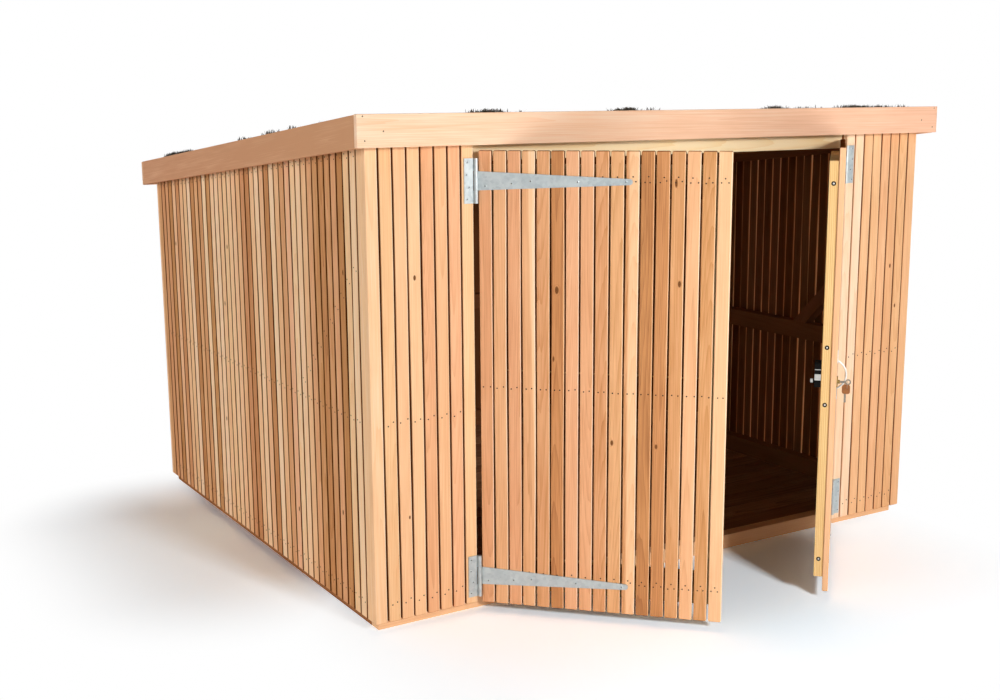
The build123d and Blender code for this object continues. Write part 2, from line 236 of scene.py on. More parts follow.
# Materials
def sawn_timber(name, stops, ring_mm, ring_share, fibre_share, mottle_share, roughness):
    """Timber with growth rings: the radius from the heart line, wavering a little, is cut into rings whose
    tone rises as a cube to the late wood; long fibre streaks and broad mottling shift the same tone."""
    waver_size, waver_reach, streak_size, mottle_size = 22 * MM, 5 * MM, 3.2 * MM, 30 * MM
    fibre_squeeze, mottle_squeeze = (1, 1, 0.018), (1, 1, 0.12)
    sap_start, sap_end, sap_tone, hue_step = -2 * MM, 5 * MM, -0.34, 0.006
    knot_rim, knot_core, knot_year = 0.42, 0.66, 0.09
    knot_years = [(0.0, linear("54301A")), (1.0, linear("93603A"))]
    grain_depth, grain_strength, late_height, sheen_spread = 0.4 * MM, 0.3, 0.6, 0.1
    material, tree, shader = new_material(name)
    heart = add(tree, "Attribute", attribute_name="heart").outputs["Vector"]
    grade = add(tree, "SeparateXYZ", {0: add(tree, "Attribute", attribute_name="grade").outputs["Vector"]})
    knot = add(tree, "Attribute", attribute_name="knot").outputs["Fac"]

    fibres = add(tree, "VectorMath", {0: heart, 1: fibre_squeeze}, operation="MULTIPLY").outputs[0]
    waver = add(tree, "TexNoise", {"Vector": fibres, "Scale": 1 / waver_size, "Detail": 2.0})
    streak = add(tree, "TexNoise", {"Vector": fibres, "Scale": 1 / streak_size, "Detail": 2.5})
    clouds = add(tree, "VectorMath", {0: heart, 1: mottle_squeeze}, operation="MULTIPLY").outputs[0]
    mottle = add(tree, "TexNoise", {"Vector": clouds, "Scale": 1 / mottle_size, "Detail": 2.0})

    flat = add(tree, "VectorMath", {0: heart, 1: (1, 1, 0)}, operation="MULTIPLY").outputs[0]
    radius = add(tree, "VectorMath", {0: flat}, operation="LENGTH").outputs["Value"]
    shaken = add(tree, "Math", {0: waver.outputs["Fac"], 1: waver_reach, 2: radius}, operation="MULTIPLY_ADD")
    ring = add(tree, "Math", {0: shaken.outputs[0], 1: ring_mm * MM}, operation="DIVIDE")
    turn = add(tree, "Math", {0: ring.outputs[0]}, operation="FRACT")
    late = add(tree, "Math", {0: turn.outputs[0], 1: 3.0}, operation="POWER").outputs[0]

    sap = add(tree, "MapRange", {0: grade.outputs["Y"], 1: sap_start, 2: sap_end, 3: 0.0, 4: sap_tone},
              interpolation_type="SMOOTHSTEP").outputs[0]
    tone = add(tree, "Math", {0: grade.outputs["X"], 1: sap}, operation="ADD").outputs[0]
    tone = add(tree, "Math", {0: late, 1: ring_share, 2: tone}, operation="MULTIPLY_ADD").outputs[0]
    for part, share in ((streak.outputs["Fac"], fibre_share), (mottle.outputs["Fac"], mottle_share)):
        centred = add(tree, "Math", {0: part, 1: 0.5}, operation="SUBTRACT").outputs[0]
        tone = add(tree, "Math", {0: centred, 1: share, 2: tone}, operation="MULTIPLY_ADD").outputs[0]
    tone = add(tree, "Math", {0: tone, 1: TONE_SPAN}, operation="DIVIDE").outputs[0]
    stops = [(place / TONE_SPAN, tint) for place, tint in stops]
    wood = add(tree, "ValToRGB", {0: tone}, stops).outputs["Color"]
    hue = add(tree, "Math", {0: grade.outputs["Z"], 1: hue_step, 2: 0.5}, operation="MULTIPLY_ADD").outputs[0]
    wood = add(tree, "HueSaturation", {"Hue": hue, "Color": wood}).outputs["Color"]

    core = add(tree, "MapRange", {0: knot, 1: knot_rim, 2: knot_core},
               interpolation_type="SMOOTHSTEP").outputs[0]
    year = add(tree, "Math", {0: knot, 1: knot_year}, operation="PINGPONG").outputs[0]
    year = add(tree, "MapRange", {0: year, 2: knot_year}).outputs[0]
    branch = add(tree, "ValToRGB", {0: year}, knot_years).outputs["Color"]
    wood = add(tree, "Mix", {0: core, 6: wood, 7: branch}, data_type="RGBA").outputs[2]
    tree.links.new(wood, shader.inputs["Base Color"])

    height = add(tree, "Math", {0: late, 1: late_height, 2: streak.outputs["Fac"]}, operation="MULTIPLY_ADD")
    bump = add(tree, "Bump", {"Strength": grain_strength, "Distance": grain_depth,
                              "Height": height.outputs[0]})
    tree.links.new(bump.outputs["Normal"], shader.inputs["Normal"])
    rough = add(tree, "MapRange", {0: streak.outputs["Fac"], 3: roughness - sheen_spread,
                                   4: roughness + sheen_spread})
    tree.links.new(rough.outputs[0], shader.inputs["Roughness"])
    shader.inputs["Specular IOR Level"].default_value = 0.0
    return material


def planed_larch(timber):
    """Larch, planed and untreated: warm slats from cream to brown with fine rings and a soft sheen."""
    # Stops past the dark late wood are painted shade, for the slats' sides in the gaps and their inner faces
    stops = [(0.0, timber.larch_sapwood), (0.26, timber.larch_pale), (0.52, timber.larch_mid),
             (0.78, timber.larch_deep), (1.0, timber.larch_dark), (1.5, timber.larch_rough),
             (TONE_SPAN, timber.larch_edge)]
    return sawn_timber("planed_larch", stops, ring_mm=3.4, ring_share=0.11, fibre_share=0.30,
                       mottle_share=0.22, roughness=0.6)


def fascia_larch(timber):
    """Larch in wide boards: calmer than the slats, peach to pinkish brown, with long even streaks."""
    stops = [(0.0, timber.larch_sapwood), (0.26, timber.fascia_pale), (1.0, timber.fascia_deep)]
    return sawn_timber("fascia_larch", stops, ring_mm=3.4, ring_share=0.16, fibre_share=0.45,
                       mottle_share=0.4, roughness=0.6)


def planed_pine(timber):
    """Pine, planed and untreated: pale yellow with bolder orange late wood."""
    # The last stop is painted shade, for the ledges where they show between the door's slats
    stops = [(0.0, timber.pine_pale), (0.55, timber.pine_mid), (1.0, timber.pine_deep),
             (TONE_SPAN, timber.larch_edge)]
    return sawn_timber("planed_pine", stops, ring_mm=5.0, ring_share=0.34, fibre_share=0.24,
                       mottle_share=0.25, roughness=0.58)


def brown_floorboard(timber):
    """Brown impregnated softwood, rough sawn: a dark matt floor with worn streaks."""
    stops = [(0.0, timber.floor_pale), (1.0, timber.floor_deep)]
    return sawn_timber("brown_floorboard", stops, ring_mm=5.0, ring_share=0.4, fibre_share=0.5,
                       mottle_share=0.5, roughness=0.75)


def spruce_plywood(timber):
    """Spruce plywood: the pale underside of the roof with broad peeled grain."""
    figure_size, peel_squeeze = 45 * MM, (0.08, 1, 1)
    material, tree, shader = new_material("spruce_plywood")
    spot = add(tree, "TexCoord").outputs["Object"]
    grain = add(tree, "VectorMath", {0: spot, 1: peel_squeeze}, operation="MULTIPLY").outputs[0]
    figure = add(tree, "TexNoise", {"Vector": grain, "Scale": 1 / figure_size, "Detail": 3.0,
                                    "Distortion": 0.8}).outputs["Fac"]
    tint = add(tree, "ValToRGB", {0: figure}, [(0.3, timber.pine_mid), (0.7, timber.pine_deep)])
    tree.links.new(tint.outputs["Color"], shader.inputs["Base Color"])
    shader.inputs["Roughness"].default_value = 0.7
    return material


def galvanised_steel(metal):
    """Hot-dip zinc on steel: pale blue-grey crystals a few millimetres across, with a dull sheen."""
    crystal_size, stain_size, crystal_share = 9 * MM, 40 * MM, 0.5
    material, tree, shader = new_material("galvanised_steel")
    spot = add(tree, "TexCoord").outputs["Object"]
    crystal = add(tree, "TexVoronoi", {"Vector": spot, "Scale": 1 / crystal_size})
    share = add(tree, "SeparateXYZ", {0: crystal.outputs["Color"]}).outputs["X"]
    stain = add(tree, "TexNoise", {"Vector": spot, "Scale": 1 / stain_size, "Detail": 3.0}).outputs["Fac"]
    mix = add(tree, "Math", {0: share, 1: crystal_share, 2: stain}, operation="MULTIPLY_ADD").outputs[0]
    tint = add(tree, "ValToRGB", {0: mix}, [(0.3, metal.zinc_dull), (1.0, metal.zinc_pale)]).outputs["Color"]
    tree.links.new(tint, shader.inputs["Base Color"])
    rough = add(tree, "MapRange", {0: share, 3: 0.36, 4: 0.52}).outputs[0]
    tree.links.new(rough, shader.inputs["Roughness"])
    shader.inputs["Metallic"].default_value = 0.9
    return material


def worn_finish(name, tint, metallic, roughness, gloss=0.5):
    """Metal, lacquer or leather whose tint and sheen waver a little with handling."""
    wear_size, shade_share, sheen_fall, sheen_rise = 12 * MM, 0.72, 0.06, 0.1
    material, tree, shader = new_material(name)
    spot = add(tree, "TexCoord").outputs["Object"]
    wear = add(tree, "TexNoise", {"Vector": spot, "Scale": 1 / wear_size, "Detail": 3.0}).outputs["Fac"]
    shade = tuple(shade_share * part for part in tint)
    mixed = add(tree, "ValToRGB", {0: wear}, [(0.25, shade), (0.75, tint)]).outputs["Color"]
    tree.links.new(mixed, shader.inputs["Base Color"])
    rough = add(tree, "MapRange", {0: wear, 3: roughness - sheen_fall, 4: roughness + sheen_rise}).outputs[0]
    tree.links.new(rough, shader.inputs["Roughness"])
    shader.inputs["Metallic"].default_value = metallic
    shader.inputs["Specular IOR Level"].default_value = gloss
    return material


def dark_nail_steel(metal):
    """Blued nail steel: small dark dots with a faint glint."""
    return worn_finish("dark_nail_steel", metal.nail_steel, metallic=0.0, roughness=0.6, gloss=0.2)


def bright_steel():
    """Satin stainless steel: a light grey square and a bright knob on the dark lock."""
    return worn_finish("bright_steel", linear("D6D4CE"), metallic=0.9, roughness=0.35)


def bright_zinc():
    """Bright zinc on the handle: a white line in the white room."""
    return worn_finish("bright_zinc", linear("F6F6F2"), metallic=0.3, roughness=0.4)


def dull_nickel():
    """Worn nickel of the keys: grey with a brown cast."""
    return worn_finish("dull_nickel", linear("A39A8C"), metallic=0.9, roughness=0.35)


def worn_brass():
    """Brass of the lock's cylinder: warm yellow with a dull rim."""
    return worn_finish("worn_brass", linear("A88A54"), metallic=1.0, roughness=0.4)


def black_lacquer():
    """Black lacquered lock case: a dark box with a soft gloss."""
    return worn_finish("black_lacquer", linear("100F0E"), metallic=0.0, roughness=0.8, gloss=0.1)


def black_recess():
    """Painted shade of a sunk hollow: nearly black and matt steel."""
    return worn_finish("black_recess", linear("1A1410"), metallic=0.0, roughness=0.8, gloss=0.1)


def brown_leather():
    """Saddle leather of the key tag: brown, slightly mottled."""
    return worn_finish("brown_leather", linear("9A6238"), metallic=0.0, roughness=0.6, gloss=0.2)


def mossy_mat(roof):
    """Growing mat: drifts of green, yellow and red stonecrop a hand wide, speckled with dark gaps between
    leaves, which are drawn at twice their size so that they show."""
    drift_size, speck_size, crumb_size, crumb_depth = 150 * MM, 14 * MM, 4 * MM, 3 * MM
    drifts = [(0.36, roof.leaf_red), (0.46, roof.leaf_green), (0.56, roof.moss), (0.66, roof.leaf_yellow)]
    gap_edge, gap_end = 0.42, 0.58
    material, tree, shader = new_material("mossy_mat")
    spot = add(tree, "TexCoord").outputs["Object"]
    drift = add(tree, "TexNoise", {"Vector": spot, "Scale": 1 / drift_size, "Detail": 4.0}).outputs["Fac"]
    tint = add(tree, "ValToRGB", {0: drift}, drifts).outputs["Color"]
    speck = add(tree, "TexNoise", {"Vector": spot, "Scale": 1 / speck_size, "Detail": 2.0}).outputs["Fac"]
    gaps = add(tree, "MapRange", {0: speck, 1: gap_edge, 2: gap_end}).outputs[0]
    tint = add(tree, "Mix", {0: gaps, 6: (*roof.soil, 1.0), 7: tint}, data_type="RGBA").outputs[2]
    tree.links.new(tint, shader.inputs["Base Color"])
    crumb = add(tree, "TexNoise", {"Vector": spot, "Scale": 1 / crumb_size, "Detail": 3.0}).outputs["Fac"]
    bump = add(tree, "Bump", {"Strength": 0.8, "Distance": crumb_depth, "Height": crumb}).outputs["Normal"]
    tree.links.new(bump, shader.inputs["Normal"])
    shader.inputs["Roughness"].default_value = 0.95
    return material


def stonecrop(name, stops):
    """Stonecrop leaves and stalks, each of its own tint, a little waxy."""
    material, tree, shader = new_material(name)
    share = add(tree, "Attribute", attribute_name="tint").outputs["Fac"]
    tint = add(tree, "ValToRGB", {0: share}, stops).outputs["Color"]
    tree.links.new(tint, shader.inputs["Base Color"])
    shader.inputs["Roughness"].default_value = 0.5
    return material


# Meshes
def mesh_from(name, points, blocks, values=None, smooth=False):
    """A mesh of points and blocks of faces, each block an array of faces with equally many corners, with
    point attributes given by name."""
    mesh = bpy.data.meshes.new(name)
    loops = np.concatenate([block.ravel() for block in blocks]).astype(np.int32)
    counts = np.concatenate([np.full(len(block), block.shape[1]) for block in blocks])
    starts = np.concatenate([[0], np.cumsum(counts)[:-1]]).astype(np.int32)
    mesh.vertices.add(len(points))
    mesh.vertices.foreach_set("co", points.astype(np.float32).ravel())
    mesh.loops.add(len(loops))
    mesh.loops.foreach_set("vertex_index", loops)
    mesh.polygons.add(len(counts))
    mesh.polygons.foreach_set("loop_start", starts)
    mesh.polygons.foreach_set("use_smooth", np.full(len(counts), smooth))
    for key, value in (values or {}).items():
        kind, field = ("FLOAT_VECTOR", "vector") if value.ndim == 2 else ("FLOAT", "value")
        mesh.attributes.new(key, kind, "POINT").data.foreach_set(field, value.astype(np.float32).ravel())
    mesh.update(calc_edges=True)
    mesh.validate()
    return mesh


def place(name, mesh, material, body, slot=None, stands_for=()):
    """Put a mesh in the scene as a piece that rides on a body."""
    piece = bpy.data.objects.new(name, mesh)
    bpy.context.scene.collection.objects.link(piece)
    mesh.materials.append(material)
    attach(piece, body)
    if stands_for:
        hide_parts(*stands_for)
    return piece


def between_rings(index):
    """Faces from each closed ring of points to the next, with the points' numbers in rows of rings."""
    after = np.roll(index, -1, axis=-1)
    corners = index[..., :-1, :], after[..., :-1, :], after[..., 1:, :], index[..., 1:, :]
    return np.stack(corners, -1).reshape(-1, 4)


def unit(vector):
    """A vector, or each vector along the last axis, at length one."""
    return vector / np.linalg.norm(vector, axis=-1, keepdims=True)


# Boards
WALLS = (("left_wall_slats", (-1, 0, 0), 101), ("right_wall_slats", (1, 0, 0), 102),
         ("back_wall_slats", (0, 1, 0), 103), ("front_left_slats", (0, -1, 0), 104),
         ("front_right_slats", (0, -1, 0), 105))
ALL_NODES = sorted(frame["nodes"])
NODE_SLOT = {row["node"]: row["material_slot"] for row in frame["record"]["subparts"]}
RIGHT_HINGE = "right_door_hinge"
HINGE_PLATE = 3 * MM
HINGE_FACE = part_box("front_left_slats")[0].y - HINGE_PLATE
# Ways that tell a board's two ends and two edges apart, and one that no board runs along
ENDWISE, EDGEWISE, ASKEW = (0.5, 0.6, 0.7), (1.0, 0.4, 0.2), (0.31, 0.52, 0.80)


def solids_of(node):
    """Corner points of each separate solid of a node: the lowest label spreads over shared triangles."""
    mesh = frame["nodes"][node].data
    points = np.empty(len(mesh.vertices) * 3, np.float32)
    mesh.vertices.foreach_get("co", points)
    points = points.reshape(-1, 3).astype(float)
    corners = np.empty(len(mesh.loops), np.int32)
    mesh.loops.foreach_get("vertex_index", corners)
    keys = np.round(points / SNAP).astype(np.int64)
    _, first, merged = np.unique(keys, axis=0, return_index=True, return_inverse=True)
    triangles = merged.ravel()[corners].reshape(-1, 3)
    label = np.arange(len(first))
    spread = np.full(len(first), -1)
    while not np.array_equal(label, spread):
        spread = label.copy()
        np.minimum.at(label, triangles, spread[triangles].min(1)[:, None])
    return [points[first][label == value] for value in np.unique(label)]


def board_ends(points):
    """The four corners at each end of a board, in one sense about its length."""
    middle = (points.min(0) + points.max(0)) / 2
    corners = points[np.argsort(np.linalg.norm(points - middle, axis=1))[-8:]]
    along = np.linalg.svd(corners - corners.mean(0))[2][0]
    along = along * np.sign(along @ ENDWISE)
    side = unit(np.cross(along, ASKEW))
    ends = corners[np.argsort(corners @ along)].reshape(2, 4, 3)
    spoke = ends - ends.mean(1, keepdims=True)
    order = np.argsort(np.arctan2(spoke @ np.cross(along, side), spoke @ side), axis=1)
    return np.take_along_axis(ends, order[..., None], 1)


class Boards:
    """Straight timbers between two four-cornered ends, each sawn from round its own heart line."""

    stations = np.linspace(0, 1, 12)
    corner_steps = 4
    # Heart line in millimetres: how far it lies behind or before the board, leans and bends, and how far it
    # lies and drifts aside
    heart_off, heart_lean, heart_bend = (14, 75), 20, (1, 6)
    heart_aside, heart_drift = 26, 14
    # Angle in radians that the heart line's bend and the board's bow pass over its length
    bend_angle, bow_angle = 5, 8
    # Metres of timber among which a board's grain starts, range of its tone and spread of its warmth
    grain_run, tones, warmth_spread = 40, (0.2, 0.8), 0.5
    # Sapwood lines at one metre lie outside every board
    no_sapwood = 1.0
    # Painted shade of the back starts this far before the back face, and an outer edge this share of the
    # width across
    back_skin, outer_share = 0.1 * MM, 0.45
    # Knots: rings and spokes, radius of the eye, lift and dome in millimetres, and swell of the growth rings
    knot_rings, knot_spokes, knot_eye = 9, 28, 0.02
    knot_lift, knot_dome, knot_swell = 0.05, 0.35, 0.5

    def __init__(self, node, seed):
        self.node = node
        ends = np.array([board_ends(points) for points in solids_of(node)])
        middles = ends.mean((1, 2))
        self.ends = ends[np.lexsort(np.round(middles, 4).T[::-1])]
        self.count = len(ends)
        first, second = (self.ends[:, :, corner] - self.ends[:, :, 0] for corner in (1, 3))
        first, second = first.mean(1), second.mean(1)
        self.sides = np.stack([np.linalg.norm(first, axis=1), np.linalg.norm(second, axis=1)], 1)
        self.centres = self.ends.mean(2)
        self.length = np.linalg.norm(self.centres[:, 1] - self.centres[:, 0], axis=1)
        wide_first = (self.sides[:, 0] >= self.sides[:, 1])[:, None]
        wide = unit(np.where(wide_first, first, second))
        self.wide = wide * np.sign(wide @ EDGEWISE)[:, None]
        self.thin = unit(np.where(wide_first, second, first))
        self.width, self.depth = self.sides.max(1), self.sides.min(1)
        self.draw_rings(np.random.default_rng(seed))
        self.leave_plain()

    def draw_rings(self, random):
        """The heart line keeps to one side of the board, leans along it and bends as a slow sine."""
        one_each, along = (self.count, 1), self.stations[None]
        off = random.uniform(*self.heart_off, one_each) * random.choice([-1, 1], one_each)
        lean, bend = random.normal(0, self.heart_lean, one_each), random.uniform(*self.heart_bend, one_each)
        start = random.uniform(0, 2 * np.pi, one_each)
        aside = random.uniform(-self.heart_aside, self.heart_aside, one_each)
        drift = random.normal(0, self.heart_drift, one_each)
        self.heart_thin = (off + lean * (along - 0.5) + bend * np.sin(self.bend_angle * along + start)) * MM
        self.heart_wide = (aside + drift * (along - 0.5)) * MM
        self.shift = random.uniform(0, self.grain_run, one_each)
        self.tone = random.uniform(*self.tones, self.count)
        self.warmth = random.normal(0, self.warmth_spread, self.count)
        self.bow_start = random.uniform(0, np.pi, self.count)

    def leave_plain(self):
        """Straight boards planed all round, of one tone from end to end, until an operator says otherwise."""
        self.bow = np.zeros(self.count)
        self.drift = np.zeros((self.count, 2))
        self.sap_line = np.full((self.count, 2), self.no_sapwood)
        # Painted shade in the gaps and on the back: the way out, strength, strength on the back, start and
        # growth
        self.outward, self.rough, self.rough_back = np.zeros(3), 0.0, 1.0
        self.rough_from, self.rough_over = 0.9 * MM, 4 * MM
        # Painted highlight along one edge: strength and width
        self.arris, self.arris_width = 0.0, 2.4 * MM
        self.open_side = np.zeros(self.count)
        self.open_side[[0, -1]] = -1, 1

    def ring_space(self, board, along, across, through):
        """Place of points from the heart line: across and through the board, and along it."""
        at = np.stack([np.interp(along, self.stations, line) for line in
                       (self.heart_wide[board], self.heart_thin[board])])
        run = along * self.length[board] + self.shift[board]
        return np.stack([across - at[0], through - at[1], run], -1)

    def grades(self, board, along, across, through):
        """Tone of the board with painted shade below its outward face and a painted highlight along one edge,
        distance past its sapwood line, and warmth; tone and warmth may drift from end to end."""
        foot, top = self.sap_line[board]
        past = across - (foot + (top - foot) * along)
        # Painted shade: darker with depth below the outward face, set on the back, none on an end board's
        # open side
        side = self.thin[board] @ self.outward
        below = self.depth[board] / 2 - through * side
        inward = np.clip((below - self.rough_from) / self.rough_over, 0, 1)
        inward = np.where(below > self.depth[board] - self.back_skin, self.rough_back, inward)
        inward = np.where(across * self.open_side[board] > self.outer_share * self.width[board], 0, inward)
        # Painted highlight: a paler strip on the edge towards the wide way
        planed = (below < self.arris_width) & (across > self.width[board] / 2 - self.arris_width)
        tone, warmth = (start + step * along for start, step in
                        zip((self.tone[board], self.warmth[board]), self.drift[board]))
        return np.stack([tone + self.rough * inward - self.arris * planed, past, warmth], -1)

    def mesh(self, ease, knots=()):
        """Each board is a blend of its two ends along its length; a ring of an end is a blend of its four
        corners round a rectangle with quarter circles of the ease at its corners, drawn in at both ends.
        A bowed board swings aside as a sine along its length."""
        turn = np.linspace(0, np.pi / 2, self.corner_steps)
        near, far = 1 - np.cos(turn), 1 - np.sin(turn)
        flags = np.repeat([(0, 0), (1, 0), (1, 1), (0, 1)], len(turn), axis=0).astype(float)
        inward = np.concatenate([np.stack(pair, -1) for pair in
                                 ((near, far), (far, near), (near, far), (far, near))])
        lead = ease / self.length.mean()
        along = np.concatenate([[0], [lead], self.stations[1:-1], [1 - lead], [1]])
        drawn = np.zeros(len(along))
        drawn[[0, -1]] = 1.0
        share = ease / self.sides[:, None, None, :]
        ring = flags + (1 - 2 * flags) * inward * share
        inset = (ring - 0.5) * (1 - 2 * share * drawn[None, :, None, None]) + 0.5
        s, t = inset[..., :1], inset[..., 1:]
        points = 0
        for end, weight in ((0, 1 - along), (1, along)):
            corner = self.ends[:, end, :, None, None, :]
            blend = ((1 - s) * (1 - t) * corner[:, 0] + s * (1 - t) * corner[:, 1]
                     + s * t * corner[:, 2] + (1 - s) * t * corner[:, 3])
            points = points + blend * weight[None, :, None, None]
        low, high = self.centres[:, :1], self.centres[:, 1:]
        off = points - (low * (1 - along)[None, :, None] + high * along[None, :, None])[:, :, None]
        across = np.einsum("brcx,bx->brc", off, self.wide)
        through = np.einsum("brcx,bx->brc", off, self.thin)
        run = np.broadcast_to(along[:, None], (len(along), len(flags)))
        heart = np.stack([self.ring_space(b, run, across[b], through[b]) for b in range(self.count)])
        grade = np.stack([self.grades(b, run, across[b], through[b]) for b in range(self.count)])
        sway = self.bow[:, None] * np.sin(self.bow_angle * along[None] + self.bow_start[:, None])
        points = points + (sway[..., None] * self.wide[:, None])[:, :, None]

        index = np.arange(points[..., 0].size).reshape(points.shape[:3])
        caps = np.concatenate([index[:, 0, ::-1], index[:, -1]])
        points, heart, grade = points.reshape(-1, 3), heart.reshape(-1, 3), grade.reshape(-1, 3)
        blocks, knot = [between_rings(index), caps], np.zeros(len(points))
        for spot in knots:
            disc, disc_blocks, disc_heart, disc_grade, disc_knot = self.knot(*spot)
            blocks += [block + len(points) for block in disc_blocks]
            points, heart = np.concatenate([points, disc]), np.concatenate([heart, disc_heart])
            grade, knot = np.concatenate([grade, disc_grade]), np.concatenate([knot, disc_knot])
        return mesh_from(self.node, points, blocks, {"heart": heart, "grade": grade, "knot": knot})

    def knot(self, board, share, across_mm, wide_mm, tall_mm, outward):
        """A knot is a very low dome on an ellipse, drawn on rings and spokes; the heart line's distance
        swells towards its middle as the square of one less the radius squared, so that growth rings close
        round it."""
        ring = np.linspace(1, self.knot_eye, self.knot_rings)[:, None]
        angle = np.linspace(0, 2 * np.pi, self.knot_spokes, endpoint=False)[None]
        across = across_mm * MM + ring * np.cos(angle) * wide_mm * MM
        run = share + ring * np.sin(angle) * tall_mm * MM / self.length[board]
        rise = self.depth[board] / 2 + (self.knot_lift + self.knot_dome * (1 - ring ** 2)) * MM + 0 * angle
        low, high = self.centres[board]
        side = np.sign(self.thin[board] @ outward)
        points = (low + run[..., None] * (high - low) + across[..., None] * self.wide[board]
                  + rise[..., None] * self.thin[board] * side)
        heart = self.ring_space(board, run, across, rise * side)
        swell = self.knot_swell * wide_mm * MM * (1 - ring ** 2) ** 2 + 0 * angle
        heart[..., 1] += swell * np.sign(heart[..., 1])
        grade = self.grades(board, run, across, rise * side)
        index = np.arange(points[..., 0].size).reshape(points.shape[:2])
        faces, cap = between_rings(index), index[-1:]
        if np.cross(self.wide[board], high - low) @ outward < 0:
            faces, cap = faces[:, ::-1], cap[:, ::-1]
        depth = (1 - ring + 0 * angle).ravel()
        return points.reshape(-1, 3), [faces, cap], heart.reshape(-1, 3), grade.reshape(-1, 3), depth


def dress(boards, material, ease, knots=()):
    """Replace a node by its boards with eased edges, and any knots in their faces."""
    node = boards.node
    body = frame["nodes"][node]["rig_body"]
    return place(node + "_timber", boards.mesh(ease, knots), material, body, NODE_SLOT[node], [node])


def coat(node, material):
    """Give a solid that shows as it is its material."""
    slots = frame["nodes"][node].data.materials
    slots.clear()
    slots.append(material)


# Shapes of nails, screws and fittings
def joint_of(name):
    """A joint of the frame by its name."""
    return next(item for item in frame["joints"] if item["name"] == name)


def swing(points, joint_name):
    """Points drawn on a closed door, turned about its hinge to where the door stands."""
    joint = joint_of(joint_name)
    angle = math.radians(-joint["range_deg"][0]) * joint["axis"][2]
    turn = np.array(Matrix.Rotation(angle, 3, "Z"))
    pivot = np.array(joint["pos_m"])
    return (points - pivot) @ turn.T + pivot


def turned_way(way, joint_name):
    """A direction drawn on a closed door, turned with the door."""
    return swing(np.array(way, float), joint_name) - swing(np.zeros(3), joint_name)


def closed_box(node):
    """Lowest and highest corner of a piece of the right door, drawn with the door closed."""
    points = np.concatenate(solids_of(node))
    turn = np.array([turned_way(way, RIGHT_HINGE) for way in np.eye(3)])
    pivot = np.array(joint_of(RIGHT_HINGE)["pos_m"])
    shut = (points - pivot) @ turn.T + pivot
    return shut.min(0), shut.max(0)


def crosswise(ways):
    """Two directions square to each of the given ones."""
    nearly_upright = 0.9
    level = np.where(np.abs(ways[:, 2:]) > nearly_upright, [[1.0, 0, 0]], [[0, 0, 1.0]])
    first = unit(np.cross(level, ways))
    return first, np.cross(ways, first)


def turned_heads(centres, ways, profile, sides):
    """Heads of nails and screws: a profile of radius and height turned about the way that each one faces,
    with the angle in equal steps, closed by a cap on top."""
    profile = np.array(profile)
    first, second = crosswise(ways)
    angle = np.linspace(0, 2 * np.pi, sides, endpoint=False)
    spoke = np.cos(angle)[None, :, None] * first[:, None] + np.sin(angle)[None, :, None] * second[:, None]
    points = (centres[:, None, None] + profile[None, :, :1, None] * spoke[:, None]
              + profile[None, :, 1:, None] * ways[:, None, None])
    index = np.arange(points[..., 0].size).reshape(points.shape[:3])
    return points.reshape(-1, 3), [between_rings(index), index[:, -1]]


def tube(path, radius, sides, closed=False):
    """A round bar along a flat path: circles of the bar's radius square to the path at each of its points."""
    step = np.roll(path, -1, axis=0) - np.roll(path, 1, axis=0)
    if not closed:
        step[[0, -1]] = path[[1, -1]] - path[[0, -2]]
    ahead = unit(step)
    flat = unit(np.cross(path[1] - path[0], path[len(path) // 3] - path[0]))
    aside = np.cross(flat, ahead)
    angle = np.linspace(0, 2 * np.pi, sides, endpoint=False)[None, :, None]
    points = path[:, None] + radius * (np.cos(angle) * aside[:, None] + np.sin(angle) * flat)
    index = np.arange(len(path) * sides).reshape(len(path), sides)
    if closed:
        return points.reshape(-1, 3), [between_rings(np.concatenate([index, index[:1]]))]
    return points.reshape(-1, 3), [between_rings(index), np.stack([index[0, ::-1], index[-1]])]


def join(*meshes):
    """Several sets of points and blocks of faces as one."""
    starts = np.cumsum([0] + [len(points) for points, _ in meshes])
    blocks = [block + start for start, (_, faces) in zip(starts, meshes) for block in faces]
    return np.concatenate([points for points, _ in meshes]), blocks


def crossings(slats, rails, reach=0.0):
    """Board numbers and heights where upright slats cross the middle line of rails or braces behind them."""
    boards, heights = [], []
    for low, high in rails.centres:
        run = (high - low) * (1, 1, 0)
        share = (slats.centres.mean(1) - low) @ run / (run @ run)
        hit = np.flatnonzero((share > -reach) & (share < 1 + reach))
        boards.append(hit)
        heights.append(low[2] + share[hit] * (high[2] - low[2]))
    return np.concatenate(boards), np.concatenate(heights)


def on_face(slats, boards, heights, across, outward):
    """Points on the outward face of upright slats, at heights and distances across each slat."""
    low, high = slats.centres[boards, 0], slats.centres[boards, 1]
    share = (heights - low[:, 2]) / (high[:, 2] - low[:, 2])
    middle = low + (high - low) * share[:, None]
    return middle + slats.wide[boards] * across[:, None] + outward * slats.depth[boards][:, None] / 2


# Operators
class ShelterOperator:
    """What all operators of the shelter share."""

    bl_options = {"REGISTER", "UNDO"}


